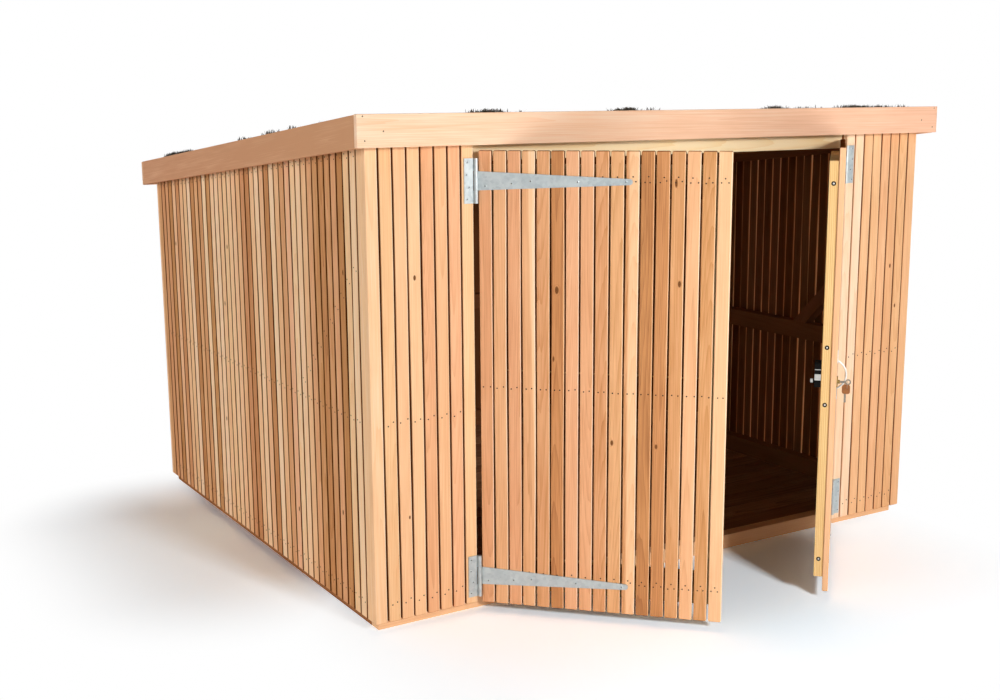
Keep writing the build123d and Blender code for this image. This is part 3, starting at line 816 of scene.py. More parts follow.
class SHELTER_OT_stage(ShelterOperator, bpy.types.Operator):
    """Set the camera, the softbox, the even room light and the pale floor"""

    bl_idname = "shelter.stage"
    bl_label = "Stage"

    film_width = 36
    # Directions between which the room's light grows towards the back and falls towards the ceiling
    front_start, front_end, rise_start, rise_end = -0.9, 0.1, 0.05, 0.5
    # The floor keeps the shadow in these areas, from their low to their high corners in metres: along the
    # left wall, and under the doors; it turns plain white over the fade
    wall_shade, door_shade = ((-1.3, -0.25), (0.75, 0.48)), ((-0.7, -1.5), (0.5, -0.25))
    shade_fade = 0.65
    # Tints of the floor in the light that it throws back and as it is seen
    bounced_tint, shown_tint = (0.975, 1.0, 1.03), (0.94, 1.05, 1.14)

    def execute(self, context):
        stage = context.scene.shelter.stage
        self.camera(context, stage)
        self.softbox(context, stage)
        self.room(context, stage)
        self.floor(context, stage)
        return {"FINISHED"}

    def camera(self, context, stage):
        """Camera of the reference view."""
        data = bpy.data.cameras.new("view_camera")
        data.lens, data.sensor_width, data.sensor_fit = stage.camera_lens, self.film_width, "HORIZONTAL"
        camera = bpy.data.objects.new("view_camera", data)
        context.scene.collection.objects.link(camera)
        turn = Matrix.Rotation(-stage.camera_yaw, 4, "Z") @ Matrix.Rotation(
            math.pi / 2 - stage.camera_pitch, 4, "X") @ Matrix.Rotation(stage.camera_roll, 4, "Z")
        camera.matrix_world = Matrix.Translation(stage.camera_place) @ turn
        context.scene.camera = camera

    def softbox(self, context, stage):
        """Square softbox in front, which gives the planed faces their light."""
        data = bpy.data.lights.new("front_softbox", "AREA")
        data.size, data.energy = stage.softbox_size, stage.softbox_power
        lamp = bpy.data.objects.new("front_softbox", data)
        context.scene.collection.objects.link(lamp)
        towards = Vector(stage.softbox_aim) - Vector(stage.softbox_place)
        lamp.location = stage.softbox_place
        lamp.rotation_mode = "QUATERNION"
        lamp.rotation_quaternion = towards.to_track_quat("-Z", "Y")

    def seen(self, tree):
        """One for what is seen straight, in a gloss or through glass, and zero for light that bounces."""
        rays = add(tree, "LightPath").outputs
        seen = add(tree, "Math", {0: rays["Is Camera Ray"], 1: rays["Is Glossy Ray"]},
                   operation="MAXIMUM").outputs[0]
        return add(tree, "Math", {0: seen, 1: rays["Is Transmission Ray"]}, operation="MAXIMUM").outputs[0]

    def room(self, context, stage):
        """White room: bright low down at the sides and back, dim in front and overhead."""
        world = bpy.data.worlds.new("studio_room")
        world.use_nodes = True
        context.scene.world = world
        tree = world.node_tree
        back = tree.nodes["Background"]
        back.inputs["Color"].default_value = (1, 1, 1, 1)
        seen = self.seen(tree)
        way = add(tree, "SeparateXYZ", {0: add(tree, "TexCoord").outputs["Generated"]})
        front = add(tree, "MapRange", {0: way.outputs["Y"], 1: self.front_start, 2: self.front_end,
                                       3: stage.front_light, 4: 1.0},
                    interpolation_type="SMOOTHSTEP").outputs[0]
        rise = add(tree, "MapRange", {0: way.outputs["Z"], 1: self.rise_start, 2: self.rise_end,
                                      3: stage.side_light, 4: stage.top_light},
                   interpolation_type="SMOOTHSTEP").outputs[0]
        light = add(tree, "Math", {0: front, 1: rise}, operation="MULTIPLY").outputs[0]
        level = add(tree, "Mix", {0: seen, 2: light, 3: 1.0}).outputs[0]
        tree.links.new(level, back.inputs["Strength"])
        context.scene.view_settings.view_transform = "Standard"

    def floor(self, context, stage):
        """Square floor round the origin."""
        reach = stage.floor_reach
        points = np.array([(-reach, -reach, 0), (reach, -reach, 0), (reach, reach, 0), (-reach, reach, 0)])
        mesh = mesh_from("studio_floor", points, [np.array([[0, 1, 2, 3]])])
        mesh.materials.append(self.paper(stage))
        floor = bpy.data.objects.new("studio_floor", mesh)
        context.scene.collection.objects.link(floor)

    def paper(self, stage):
        """White paper floor: keeps the shelter's shadow near it and is plain white further off."""
        material, tree, shader = new_material("white_paper")
        output = tree.nodes["Material Output"]
        tree.nodes.remove(shader)
        seen = self.seen(tree)
        bounced, shown = ((*(stage.floor_gain * np.array(tint)), 1)
                          for tint in (self.bounced_tint, self.shown_tint))
        tint = add(tree, "Mix", {0: seen, 6: bounced, 7: shown}, data_type="RGBA").outputs[2]
        paper = add(tree, "BsdfDiffuse", {"Color": tint}).outputs[0]
        white = add(tree, "Emission").outputs[0]
        from_wall, from_doors = (self.away(tree, *area) for area in (self.wall_shade, self.door_shade))
        distance = add(tree, "Math", {0: from_wall, 1: from_doors}, operation="MINIMUM").outputs[0]
        far = add(tree, "MapRange", {0: distance, 1: 0.0, 2: self.shade_fade},
                  interpolation_type="SMOOTHSTEP").outputs[0]
        plain = add(tree, "Math", {0: far, 1: seen}, operation="MULTIPLY").outputs[0]
        mixed = add(tree, "MixShader", {0: plain, 1: paper, 2: white})
        tree.links.new(mixed.outputs[0], output.inputs["Surface"])
        return material

    def away(self, tree, low, high):
        """How far a spot of the floor lies outside an area: the length of what its two coordinates exceed."""
        low, high = np.array((*low, -1)), np.array((*high, 1))
        spot = add(tree, "TexCoord").outputs["Object"]
        spot = add(tree, "VectorMath", {0: spot, 1: (low + high) / 2}, operation="SUBTRACT").outputs[0]
        spot = add(tree, "VectorMath", {0: spot}, operation="ABSOLUTE").outputs[0]
        spot = add(tree, "VectorMath", {0: spot, 1: (high - low) / 2}, operation="SUBTRACT").outputs[0]
        spot = add(tree, "VectorMath", {0: spot, 1: (0, 0, 0)}, operation="MAXIMUM").outputs[0]
        return add(tree, "VectorMath", {0: spot}, operation="LENGTH").outputs["Value"]


class SHELTER_OT_wall_slats(ShelterOperator, bpy.types.Operator):
    """Dress the slats of the walls and front panels"""

    bl_idname = "shelter.wall_slats"
    bl_label = "Wall Slats"

    # Painted gap shade: strength, and millimetres below the face where it starts and over which it grows
    rough_edges = {"left_wall_slats": (1.4, 0.1, 0.8), "right_wall_slats": (1.0, 14, 3),
                   "back_wall_slats": (1.0, 14, 3), "front_left_slats": (1.4, 2.2, 1.6),
                   "front_right_slats": (1.4, 2.2, 1.6)}
    # Walls: boards in runs where brown ones are many, the chance of brown there and elsewhere, and tones
    brown_runs, run_chance, brown_chance = np.array(((3, 8), (29, 41))), 0.8, 0.12
    brown_tones, pale_tone, pale_spread, pale_limits = (0.5, 0.86), 0.25, 0.09, (0.12, 0.45)
    first_tone, wall_warmth = 0.24, 0.3
    bow_spread, bow_most = 1.0, 2
    # Front panels: palest and darkest tone, warmth and a painted highlight along one edge, and how many
    # boards beside the right door are pale sapwood
    panel_tones, panel_warmth, panel_arris = (0.2, 0.57), -0.4, 0.4
    sap_boards, sap_tone = 2, 0.06
    # Knots: board, share of its height, millimetres across, and half width and height in millimetres
    panel_knots = {"front_left_slats": (2, 0.221, 11, 6, 12), "front_right_slats": (6, 0.544, -8, 8, 16)}
    boards_a_knot, knot_heights, knot_aside, knot_halves = 6, (0.08, 0.92), (-9, 9), (9, 17)

    def execute(self, context):
        timber = context.scene.shelter.timber
        larch = bpy.data.materials["planed_larch"]
        for node, way, seed in WALLS:
            slats = Boards(node, seed)
            random = np.random.default_rng(seed)
            slats.outward = np.array(way)
            slats.rough, start, growth = self.rough_edges[node]
            slats.rough_from, slats.rough_over = start * MM, growth * MM
            self.sort_tones(slats, random)
            knotty = random.choice(slats.count, slats.count // self.boards_a_knot, replace=False)
            knots = [(board, random.uniform(*self.knot_heights), random.uniform(*self.knot_aside),
                      *self.knot_halves, slats.outward) for board in knotty]
            if node in self.panel_knots:
                knots.append((*self.panel_knots[node], slats.outward))
            dress(slats, larch, timber.ease, knots)
        return {"FINISHED"}

    def sort_tones(self, slats, random):
        """Bow the slats and set their tones: pale with brown ones among them, sapwood by the right door."""
        panel = slats.node in self.panel_knots
        bow = np.clip(random.normal(0, self.bow_spread, slats.count - 2), -self.bow_most, self.bow_most)
        slats.bow[1:-1] = bow * MM
        number = np.arange(slats.count)[:, None]
        run = ((number >= self.brown_runs[:, 0]) & (number <= self.brown_runs[:, 1])).any(1)
        chance = np.where(run & (slats.node == "left_wall_slats"), self.run_chance, self.brown_chance)
        brown = random.random(slats.count) < chance
        tones = self.panel_tones if panel else self.brown_tones
        brown_tone = random.uniform(*tones, slats.count)
        pale_tone = np.clip(random.normal(self.pale_tone, self.pale_spread, slats.count), *self.pale_limits)
        slats.tone = np.where(brown | panel, brown_tone, pale_tone)
        slats.tone[0] = self.first_tone
        slats.warmth = slats.warmth + self.wall_warmth
        if panel:
            slats.arris = self.panel_arris
            slats.warmth = slats.warmth + self.panel_warmth
        if slats.node == "front_right_slats":
            slats.tone[:self.sap_boards] = self.sap_tone


class SHELTER_OT_door_slats(ShelterOperator, bpy.types.Operator):
    """Dress the slats of both doors"""

    bl_idname = "shelter.door_slats"
    bl_label = "Door Slats"

    # Palest and darkest tone, and the tone of the pale board at each door's free edge
    tones, free_edge_tone = (0.45, 0.85), 0.36
    # Sapwood line across two boards, in millimetres at their feet and tops
    sap_lines = {3: (22, -3), 10: (-9, -11)}
    # Painted gap shade as on the walls, its strength on the slats' backs, and a painted highlight along one
    # edge
    rough_edges, rough_back, arris = (1.7, 2.2, 1.6), 0.1, 0.5
    bow_spread = 0.5
    # Knots: board, share of its height, millimetres across, and half width and height in millimetres
    left_knots = ((5, 0.709, -2.4, 12, 24), (5, 0.561, -12, 6, 16), (9, 0.384, -9, 9, 18),
                  (12, 0.381, -8, 8, 16), (13, 0.729, 8, 10, 20), (13, 0.935, -6, 8, 26))
    right_knots = ((3, 0.62, 4, 10, 20), (9, 0.27, -6, 9, 18), (14, 0.8, 2, 8, 17))

    def execute(self, context):
        timber = context.scene.shelter.timber
        larch = bpy.data.materials["planed_larch"]
        for side, seed, knots in (("left", 201, self.left_knots), ("right", 202, self.right_knots)):
            slats = Boards(side + "_door_slats", seed)
            random = np.random.default_rng(seed)
            slats.bow[1:-1] = random.normal(0, self.bow_spread * MM, slats.count - 2)
            slats.tone = random.uniform(*self.tones, slats.count)
            slats.tone[-1 if side == "left" else 0] = self.free_edge_tone
            for board, line in self.sap_lines.items():
                slats.sap_line[board] = np.array(line) * MM
            slats.outward = turned_way((0, -1, 0), side + "_door_hinge")
            slats.rough, start, growth = self.rough_edges
            slats.rough_from, slats.rough_over = start * MM, growth * MM
            slats.rough_back, slats.arris = self.rough_back, self.arris
            dress(slats, larch, timber.ease, [(*knot, slats.outward) for knot in knots])
        return {"FINISHED"}


class SHELTER_OT_frame_timbers(ShelterOperator, bpy.types.Operator):
    """Dress the base, posts, rails, braces, rafters and door frames"""

    bl_idname = "shelter.frame_timbers"
    bl_label = "Frame Timbers"

    first_seed = 300
    # Timber, palest and darkest tone, and the nodes made of it
    timber_groups = (
        ("planed_pine", 0.0, 0.3, ("front_header",)),
        ("planed_pine", 0.4, 0.9, ("left_door_stiles", "right_door_stiles", "left_door_ledges",
                                   "right_door_ledges")),
        ("planed_larch", 0.2, 0.5, ("base_front_rail",)),
        ("planed_larch", 0.85, 1.0, ("base_back_rail", "base_left_rail", "base_right_rail")),
        # Timbers inside the shelter: tones from the dark late wood towards painted shade, for the dark inside
        ("planed_larch", 1.0, 1.25, ("floor_joists", "corner_posts", "door_posts", "front_panel_rails",
                                     "left_wall_rails", "right_wall_rails", "back_wall_rails",
                                     "left_wall_brace", "right_wall_brace", "roof_rafters")),
    )
    # Painted shade on the ledges where they show between the door's slats, from this near to their outer face
    ledge_dark, ledge_skin, ledge_growth = 2.0, 2 * MM, 1 * MM

    def execute(self, context):
        timber = context.scene.shelter.timber
        for material, low, high, nodes in self.timber_groups:
            for node in nodes:
                timbers = Boards(node, self.first_seed + ALL_NODES.index(node))
                timbers.tone = low + (high - low) * timbers.tone
                if node.endswith("_ledges"):
                    timbers.outward = turned_way((0, 1, 0), node.replace("_ledges", "_hinge"))
                    timbers.rough, timbers.rough_over = self.ledge_dark, self.ledge_growth
                    timbers.rough_from = timbers.depth.min() - self.ledge_skin
                dress(timbers, bpy.data.materials[material], timber.frame_ease)
        coat("roof_deck", spruce_plywood(timber))
        return {"FINISHED"}


class SHELTER_OT_floor_boards(ShelterOperator, bpy.types.Operator):
    """Dress the floor boards"""

    bl_idname = "shelter.floor_boards"
    bl_label = "Floor Boards"

    seed = 400

    def execute(self, context):
        timber = context.scene.shelter.timber
        dress(Boards("floor_boards", self.seed), bpy.data.materials["brown_floorboard"], timber.ease)
        return {"FINISHED"}


class SHELTER_OT_fascias(ShelterOperator, bpy.types.Operator):
    """Dress the fascia boards round the roof"""

    bl_idname = "shelter.fascias"
    bl_label = "Fascias"

    first_seed = 500
    # The left fascia is darker than the others: painted shade on that side of the roof
    tones = {"fascia_front": 0.12, "fascia_back": 0.6, "fascia_left": 1.0, "fascia_right": 0.6}
    # Steps of tone and warmth from one end to the other
    drifts = {"fascia_front": (0.2, -1.8), "fascia_left": (-0.1, -0.9)}
    warmth = -1.0

    def execute(self, context):
        timber = context.scene.shelter.timber
        larch = bpy.data.materials["fascia_larch"]
        for number, (node, tone) in enumerate(self.tones.items()):
            boards = Boards(node, self.first_seed + number)
            boards.tone[:] = tone
            boards.warmth[:] = self.warmth
            boards.drift[:] = self.drifts.get(node, (0, 0))
            dress(boards, larch, timber.frame_ease)
        return {"FINISHED"}


class SHELTER_OT_nails(ShelterOperator, bpy.types.Operator):
    """Drive nails through the slats into rails, braces and ledges"""

    bl_idname = "shelter.nails"
    bl_label = "Nails"

    seed = 61
    rails = {"left_wall_slats": ("left_wall_rails", "left_wall_brace"),
             "right_wall_slats": ("right_wall_rails", "right_wall_brace"),
             "back_wall_slats": ("back_wall_rails",), "front_left_slats": ("front_panel_rails",),
             "front_right_slats": ("front_panel_rails",)}
    # Nails round each crossing, in millimetres across and up, and how far they stray
    wall_spots, door_spots, third_spot, stray = ((-9, -5), (9, 5)), ((-9, 0), (9, 1)), ((0, 14),), 1.5
    # Share of a ledge's length that slats may lie past its ends
    ledge_reach = 0.12
    # No third nail this near, in metres, to the height of a door's middle
    middle_reach = 0.2
    # Nails at both ends of the front fascia: metres from the middle and up from its lower edge
    fascia_spots = ((1.123, 0.085), (1.061, 0.044), (1.118, 0.019))
    # Profile of a head: shares of its radius and heights in millimetres
    head_profile, head_sides = ((1, 0), (1, 0.3), (0.6, 0.55)), 8

    def execute(self, context):
        steel = dark_nail_steel(context.scene.shelter.metal)
        radius = context.scene.shelter.timber.nail_radius
        random = np.random.default_rng(self.seed)
        found = [self.driven(node, rail, np.array(way, float), self.wall_spots, 0, random)
                 for node, way, _ in WALLS for rail in self.rails[node]]
        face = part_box("fascia_front")[0]
        ends = np.array([(hand * x, face.y, face.z + up) for hand in (-1, 1) for x, up in self.fascia_spots])
        found.append((ends, np.array((0, -1.0, 0))))
        self.heads("shelter", found, radius, steel)
        for side in ("left", "right"):
            out = turned_way((0, -1, 0), side + "_door_hinge")
            ledges = side + "_door_ledges"
            found = [self.driven(side + "_door_slats", ledges, out, spots, self.ledge_reach, random)
                     for spots in (self.door_spots, self.third_spot)]
            middle = np.mean(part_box(ledges), axis=0)[2]
            third, _ = found[1]
            found[1] = third[np.abs(third[:, 2] - middle) > self.middle_reach], out
            self.heads(side + "_door", found, radius, steel)
        return {"FINISHED"}

    def driven(self, node, rail, out, spots, reach, random):
        """Nail places where slats cross rails, at spots across and up from each crossing."""
        slats = Boards(node, 0)
        boards, heights = crossings(slats, Boards(rail, 0), reach)
        if rail == "front_panel_rails":
            boards, heights = boards[heights < heights.max()], heights[heights < heights.max()]
        spots = np.array(spots)
        boards, heights = np.repeat(boards, len(spots)), np.repeat(heights, len(spots))
        stray = random.normal(0, self.stray, (len(boards), 2))
        offset = np.tile(spots, (len(boards) // len(spots), 1)) + stray
        return on_face(slats, boards, heights + offset[:, 1] * MM, offset[:, 0] * MM, out), out

    def heads(self, body, found, radius, steel):
        """All nail heads of a body as one piece."""
        centres = np.concatenate([points for points, _ in found])
        ways = np.concatenate([np.broadcast_to(out, points.shape) for points, out in found])
        profile = np.array(self.head_profile) * (radius, MM)
        points, blocks = turned_heads(centres, ways, profile, self.head_sides)
        place(body + "_nails", mesh_from(body + "_nails", points, blocks), steel, body, "galvanised_steel")


class SHELTER_OT_hinges(ShelterOperator, bpy.types.Operator):
    """Coat the hinges in zinc and set their screws"""

    bl_idname = "shelter.hinges"
    bl_label = "Hinges"

    # Screws in millimetres from each pin: along the plate and up
    leaf_spots = ((-28, 54), (-30, 18), (-22, -18), (-29, -52))
    strap_spots = ((26, -15), (105, -7), (161, 0), (298, -1), (436, 0))
    # Profile of a head: shares of its radius and heights in millimetres
    head_profile, head_sides = ((1, 0), (0.95, 0.5), (0.7, 1.1), (0.3, 1.4)), 14
    # Painted shade of the cross slot: half length and half width as shares of the head's radius, and its
    # height
    recess_long_share, recess_wide_share, recess_height = 0.55, 0.13, 1.5 * MM

    def execute(self, context):
        metal = context.scene.shelter.metal
        zinc, recess = galvanised_steel(metal), black_recess()
        for side in ("left", "right"):
            door = side + "_door"
            for node in (side + "_hinge_leaves", side + "_hinge_pins", door + "_straps"):
                coat(node, zinc)
            for body, node, spots in (("shelter", side + "_hinge_leaves", self.leaf_spots),
                                      (door, door + "_straps", self.strap_spots)):
                centres, way = self.screw_places(side, body, spots)
                self.screws(body, node, centres, way, metal.screw_head, zinc, recess)
        return {"FINISHED"}

    def screw_places(self, side, body, spots):
        """Places of screws on the plate's face from each hinge's pin, and the way they face."""
        joint = side + "_door_hinge"
        pin = np.array(joint_of(joint)["pos_m"])
        hand = -np.sign(pin[0])
        pins = np.array([points.mean(0) for points in solids_of(side + "_hinge_pins")])
        centres = np.array([(pin[0] + hand * along, HINGE_FACE, height + up)
                            for height in pins[:, 2] for along, up in np.array(spots) * MM])
        way = np.array((0, -1.0, 0))
        if body != "shelter":
            return swing(centres, joint), turned_way(way, joint)
        return centres, way

    def screws(self, body, node, centres, way, radius, zinc, recess):
        """Domed heads, each with painted shade of its cross slot: two flat black arms just over it."""
        ways = np.broadcast_to(way, centres.shape)
        heads = turned_heads(centres, ways, np.array(self.head_profile) * (radius, MM), self.head_sides)
        place(node + "_screws", mesh_from(node + "_screws", *heads), zinc, body, "galvanised_steel")
        first, second = crosswise(ways)
        top = centres + ways * self.recess_height
        arms = []
        for one, two in ((first, second), (second, first)):
            long, short = one * radius * self.recess_long_share, two * radius * self.recess_wide_share
            arms.append(np.stack([top - long - short, top + long - short, top + long + short,
                                  top - long + short], 1))
        points = np.concatenate(arms)
        faces = np.arange(points[..., 0].size).reshape(-1, 4)
        faces[len(centres):] = faces[len(centres):, ::-1]
        mesh = mesh_from(node + "_recesses", points.reshape(-1, 3), [faces])
        place(node + "_recesses", mesh, recess, body, "galvanised_steel")


class SHELTER_OT_sedum(ShelterOperator, bpy.types.Operator):
    """Grow the roof: a mossy mat, low stonecrop and raised clumps with dry stalks"""

    bl_idname = "shelter.sedum"
    bl_label = "Sedum"

    seed = 71
    # Mat: points along its two sides, two waves that cross, each with its radians per metre, bend in radians
    # and radians per metre of the bend, then in millimetres its wave and grain and how far it lies below the
    # solid's top
    turf_points, first_wave, second_wave = (181, 161), (31, 2, 17), (27, 1.7, 21)
    wave_height, grain_height, mat_sink = 2.5, 0.9, 3
    dome_share = 0.6
    # Tufts keep off the rim; some of a clump's stray outside it
    rim_margin, stray_chance, stray_reach = 8 * MM, 0.25, 1.9
    # Taller growth seen over the fascias: low corner, width and depth in metres, and number of tufts
    patches = ((-0.76, -0.985, 0.11, 0.05, 70), (-0.64, -0.985, 0.07, 0.05, 8),
               (-0.27, -0.985, 0.09, 0.05, 60), (-0.17, -0.985, 0.09, 0.05, 10),
               (0.39, -0.985, 0.06, 0.05, 30), (0.45, -0.985, 0.16, 0.05, 16),
               (0.69, -0.985, 0.14, 0.05, 90), (0.83, -0.985, 0.22, 0.05, 40),
               (-1.12, 0.49, 0.03, 0.29, 170), (-1.12, -0.1, 0.03, 0.06, 12),
               (-1.12, -0.36, 0.03, 0.11, 16), (-1.12, -0.51, 0.03, 0.03, 6))
    # Blades: shares of the width from root to tip, droop, least share of the room over them that they fill,
    # and in millimetres the depth of their roots and the room kept over and beside them
    blade_shares, droop, least_share = np.array((0.6, 1.0, 0.8, 0.1)), 0.35, 0.55
    root_depth, growing_room, top_room, side_room = 2, 0.4, 0.2, 1

    def execute(self, context):
        roof = context.scene.shelter.roof
        random = np.random.default_rng(self.seed)
        self.low, self.high = (np.array(corner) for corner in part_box("sedum_mat"))
        self.lumps = np.array([(*points[:, :2].mean(0), np.ptp(points[:, 0]) / 2, np.ptp(points[:, 2]))
                               for points in solids_of("sedum_cushions")])
        corners = solids_of("sedum_mat")[0]
        front = corners[np.isclose(corners[:, 1], self.low[1], atol=MM)]
        back = corners[np.isclose(corners[:, 1], self.high[1], atol=MM)]
        self.front_top, self.back_top = front[:, 2].max(), back[:, 2].max()
        self.thickness = np.ptp(front[:, 2])
        self.turf(roof, random)
        self.growth(roof, random)
        return {"FINISHED"}

    def slope(self, y):
        """Height of the solid mat's top, straight from its front to its back."""
        share = (y - self.low[1]) / (self.high[1] - self.low[1])
        return self.front_top + (self.back_top - self.front_top) * share

    def rolling(self, one, other, wave):
        """A sine along one way that bends as a sine along the other."""
        rate, bend, bend_rate = wave
        return np.sin(rate * one + bend * np.sin(bend_rate * other))

    def ground(self, x, y):
        """Height of the mat: its slope, low rolling waves, and domes falling as one less the square of the
        distance from each clump's middle."""
        wave = self.rolling(x, y, self.first_wave) * self.rolling(y, x, self.second_wave)
        dome = 0
        for middle_x, middle_y, radius, rise in self.lumps:
            away = ((x - middle_x) ** 2 + (y - middle_y) ** 2) / radius ** 2
            dome = np.maximum(dome, np.clip(1 - away, 0, 1) * rise * self.dome_share)
        return self.slope(y) - self.mat_sink * MM + self.wave_height * MM * wave + dome

    def turf(self, roof, random):
        """A grid over the mat at the ground's height, whose rim drops to the deck."""
        steps = [np.linspace(self.low[i], self.high[i], self.turf_points[i]) for i in (0, 1)]
        x, y = np.meshgrid(*steps, indexing="ij")
        z = self.ground(x, y) + random.normal(0, self.grain_height * MM, x.shape)
        top = np.stack([x, y, z], -1).reshape(-1, 3)
        base = np.stack([x, y, self.slope(y) - self.thickness], -1).reshape(-1, 3)
        index = np.arange(x.size).reshape(x.shape)
        sheet = np.stack([index[:-1, :-1], index[1:, :-1], index[1:, 1:], index[:-1, 1:]], -1).reshape(-1, 4)
        rim = np.concatenate([index[:-1, 0], index[-1, :-1], index[:0:-1, -1], index[0, :0:-1]])
        after = np.roll(rim, -1)
        count = x.size
        skirt = np.stack([rim + count, after + count, after, rim], -1)
        bottom = np.array([[0, x.shape[1] - 1, count - 1, count - x.shape[1]]]) + count
        mesh = mesh_from("sedum_turf", np.concatenate([top, base]), [sheet, skirt, bottom], smooth=True)
        place("sedum_turf", mesh, mossy_mat(roof), "shelter", NODE_SLOT["sedum_mat"],
              ["sedum_mat", "sedum_cushions"])

    def growth(self, roof, random):
        """Low rosettes all over the mat, sprigs on its clumps and stalks along the edges that show."""
        leaf = stonecrop("stonecrop", [(0.0, roof.leaf_red), (0.3, roof.leaf_green), (0.7, roof.moss),
                                       (1.0, roof.leaf_yellow)])
        # Stalks and sprigs: dry tints darkened partly with painted shade of clumps seen against the light
        stalk = stonecrop("dry_stonecrop", [(0.0, roof.stalk_dry), (0.45, roof.stalk_olive),
                                            (0.8, roof.stalk_olive), (1.0, roof.stalk_red)])
        inner_low, inner_high = self.low + self.rim_margin, self.high - self.rim_margin
        spread = np.stack([random.uniform(inner_low[i], inner_high[i], roof.tufts) for i in (0, 1)], 1)
        self.blades("sedum_rosettes", leaf, spread, random, leaves=6, length=(4, 9), width=3.2,
                    tilt=(0.7, 1.3))
        lumps = np.repeat(self.lumps, roof.clump_tufts, axis=0)
        out = np.sqrt(random.uniform(0, 1, len(lumps))) * lumps[:, 2]
        out *= np.where(random.random(len(lumps)) < self.stray_chance, self.stray_reach, 1.0)
        angle = random.uniform(0, 2 * np.pi, len(lumps))
        spots = lumps[:, :2] + np.stack([np.cos(angle), np.sin(angle)], 1) * out[:, None]
        self.blades("sedum_sprigs", stalk, spots, random, leaves=6, length=(8, 25), width=1.7,
                    tilt=(0.1, 1.2))
        edge = np.concatenate([random.uniform((x, y), (x + wide, y + deep), (count, 2))
                               for x, y, wide, deep, count in self.patches])
        self.blades("sedum_stalks", stalk, edge, random, leaves=4, length=(26, 48), width=3.2,
                    tilt=(0.0, 0.6))

    def blades(self, name, leaf, spots, random, leaves, length, width, tilt):
        """Leaves are bent blades: along each, height and reach follow a straight rise with a droop of the
        square of the way out, and the width falls to the tip."""
        count, rows = len(spots) * leaves, len(self.blade_shares)
        x, y = np.repeat(spots, leaves, axis=0).T
        base = np.stack([x, y, self.ground(x, y) - self.root_depth * MM], -1)
        turn, lean = random.uniform(0, 2 * np.pi, count), random.uniform(*tilt, count)
        room = CAD_BOX[1][2] - self.growing_room * MM - base[:, 2]
        share = random.uniform(self.least_share, 1, count)
        most = share * room / ((1 - self.droop) * np.cos(lean))
        reach = np.minimum(random.uniform(*length, count) * MM, most)
        out = np.stack([np.cos(turn), np.sin(turn), 0 * turn], -1)
        aside = np.stack([-np.sin(turn), np.cos(turn), 0 * turn], -1)
        way = np.linspace(0, 1, rows)[None, :, None]
        outward = np.sin(lean)[:, None, None] * out[:, None] * way
        upward = np.cos(lean)[:, None, None] * np.array((0, 0, 1.0)) * (way - self.droop * way ** 2)
        spine = base[:, None] + reach[:, None, None] * (outward + upward)
        half = aside[:, None] * width * MM / 2 * self.blade_shares[None, :, None]
        points = np.stack([spine - half, spine + half], 2)
        points[..., 2] = np.minimum(points[..., 2], CAD_BOX[1][2] - self.top_room * MM)
        room = self.side_room * MM
        points[..., :2] = np.clip(points[..., :2], self.low[:2] + room, self.high[:2] - room)
        index = np.arange(count * rows * 2).reshape(count, rows, 2)
        faces = np.stack([index[:, :-1, 0], index[:, :-1, 1], index[:, 1:, 1], index[:, 1:, 0]], -1)
        tint = np.repeat(random.uniform(0, 1, count), rows * 2)
        mesh = mesh_from(name, points.reshape(-1, 3), [faces.reshape(-1, 4)], {"tint": tint}, smooth=True)
        place(name, mesh, leaf, "shelter", NODE_SLOT["sedum_mat"])


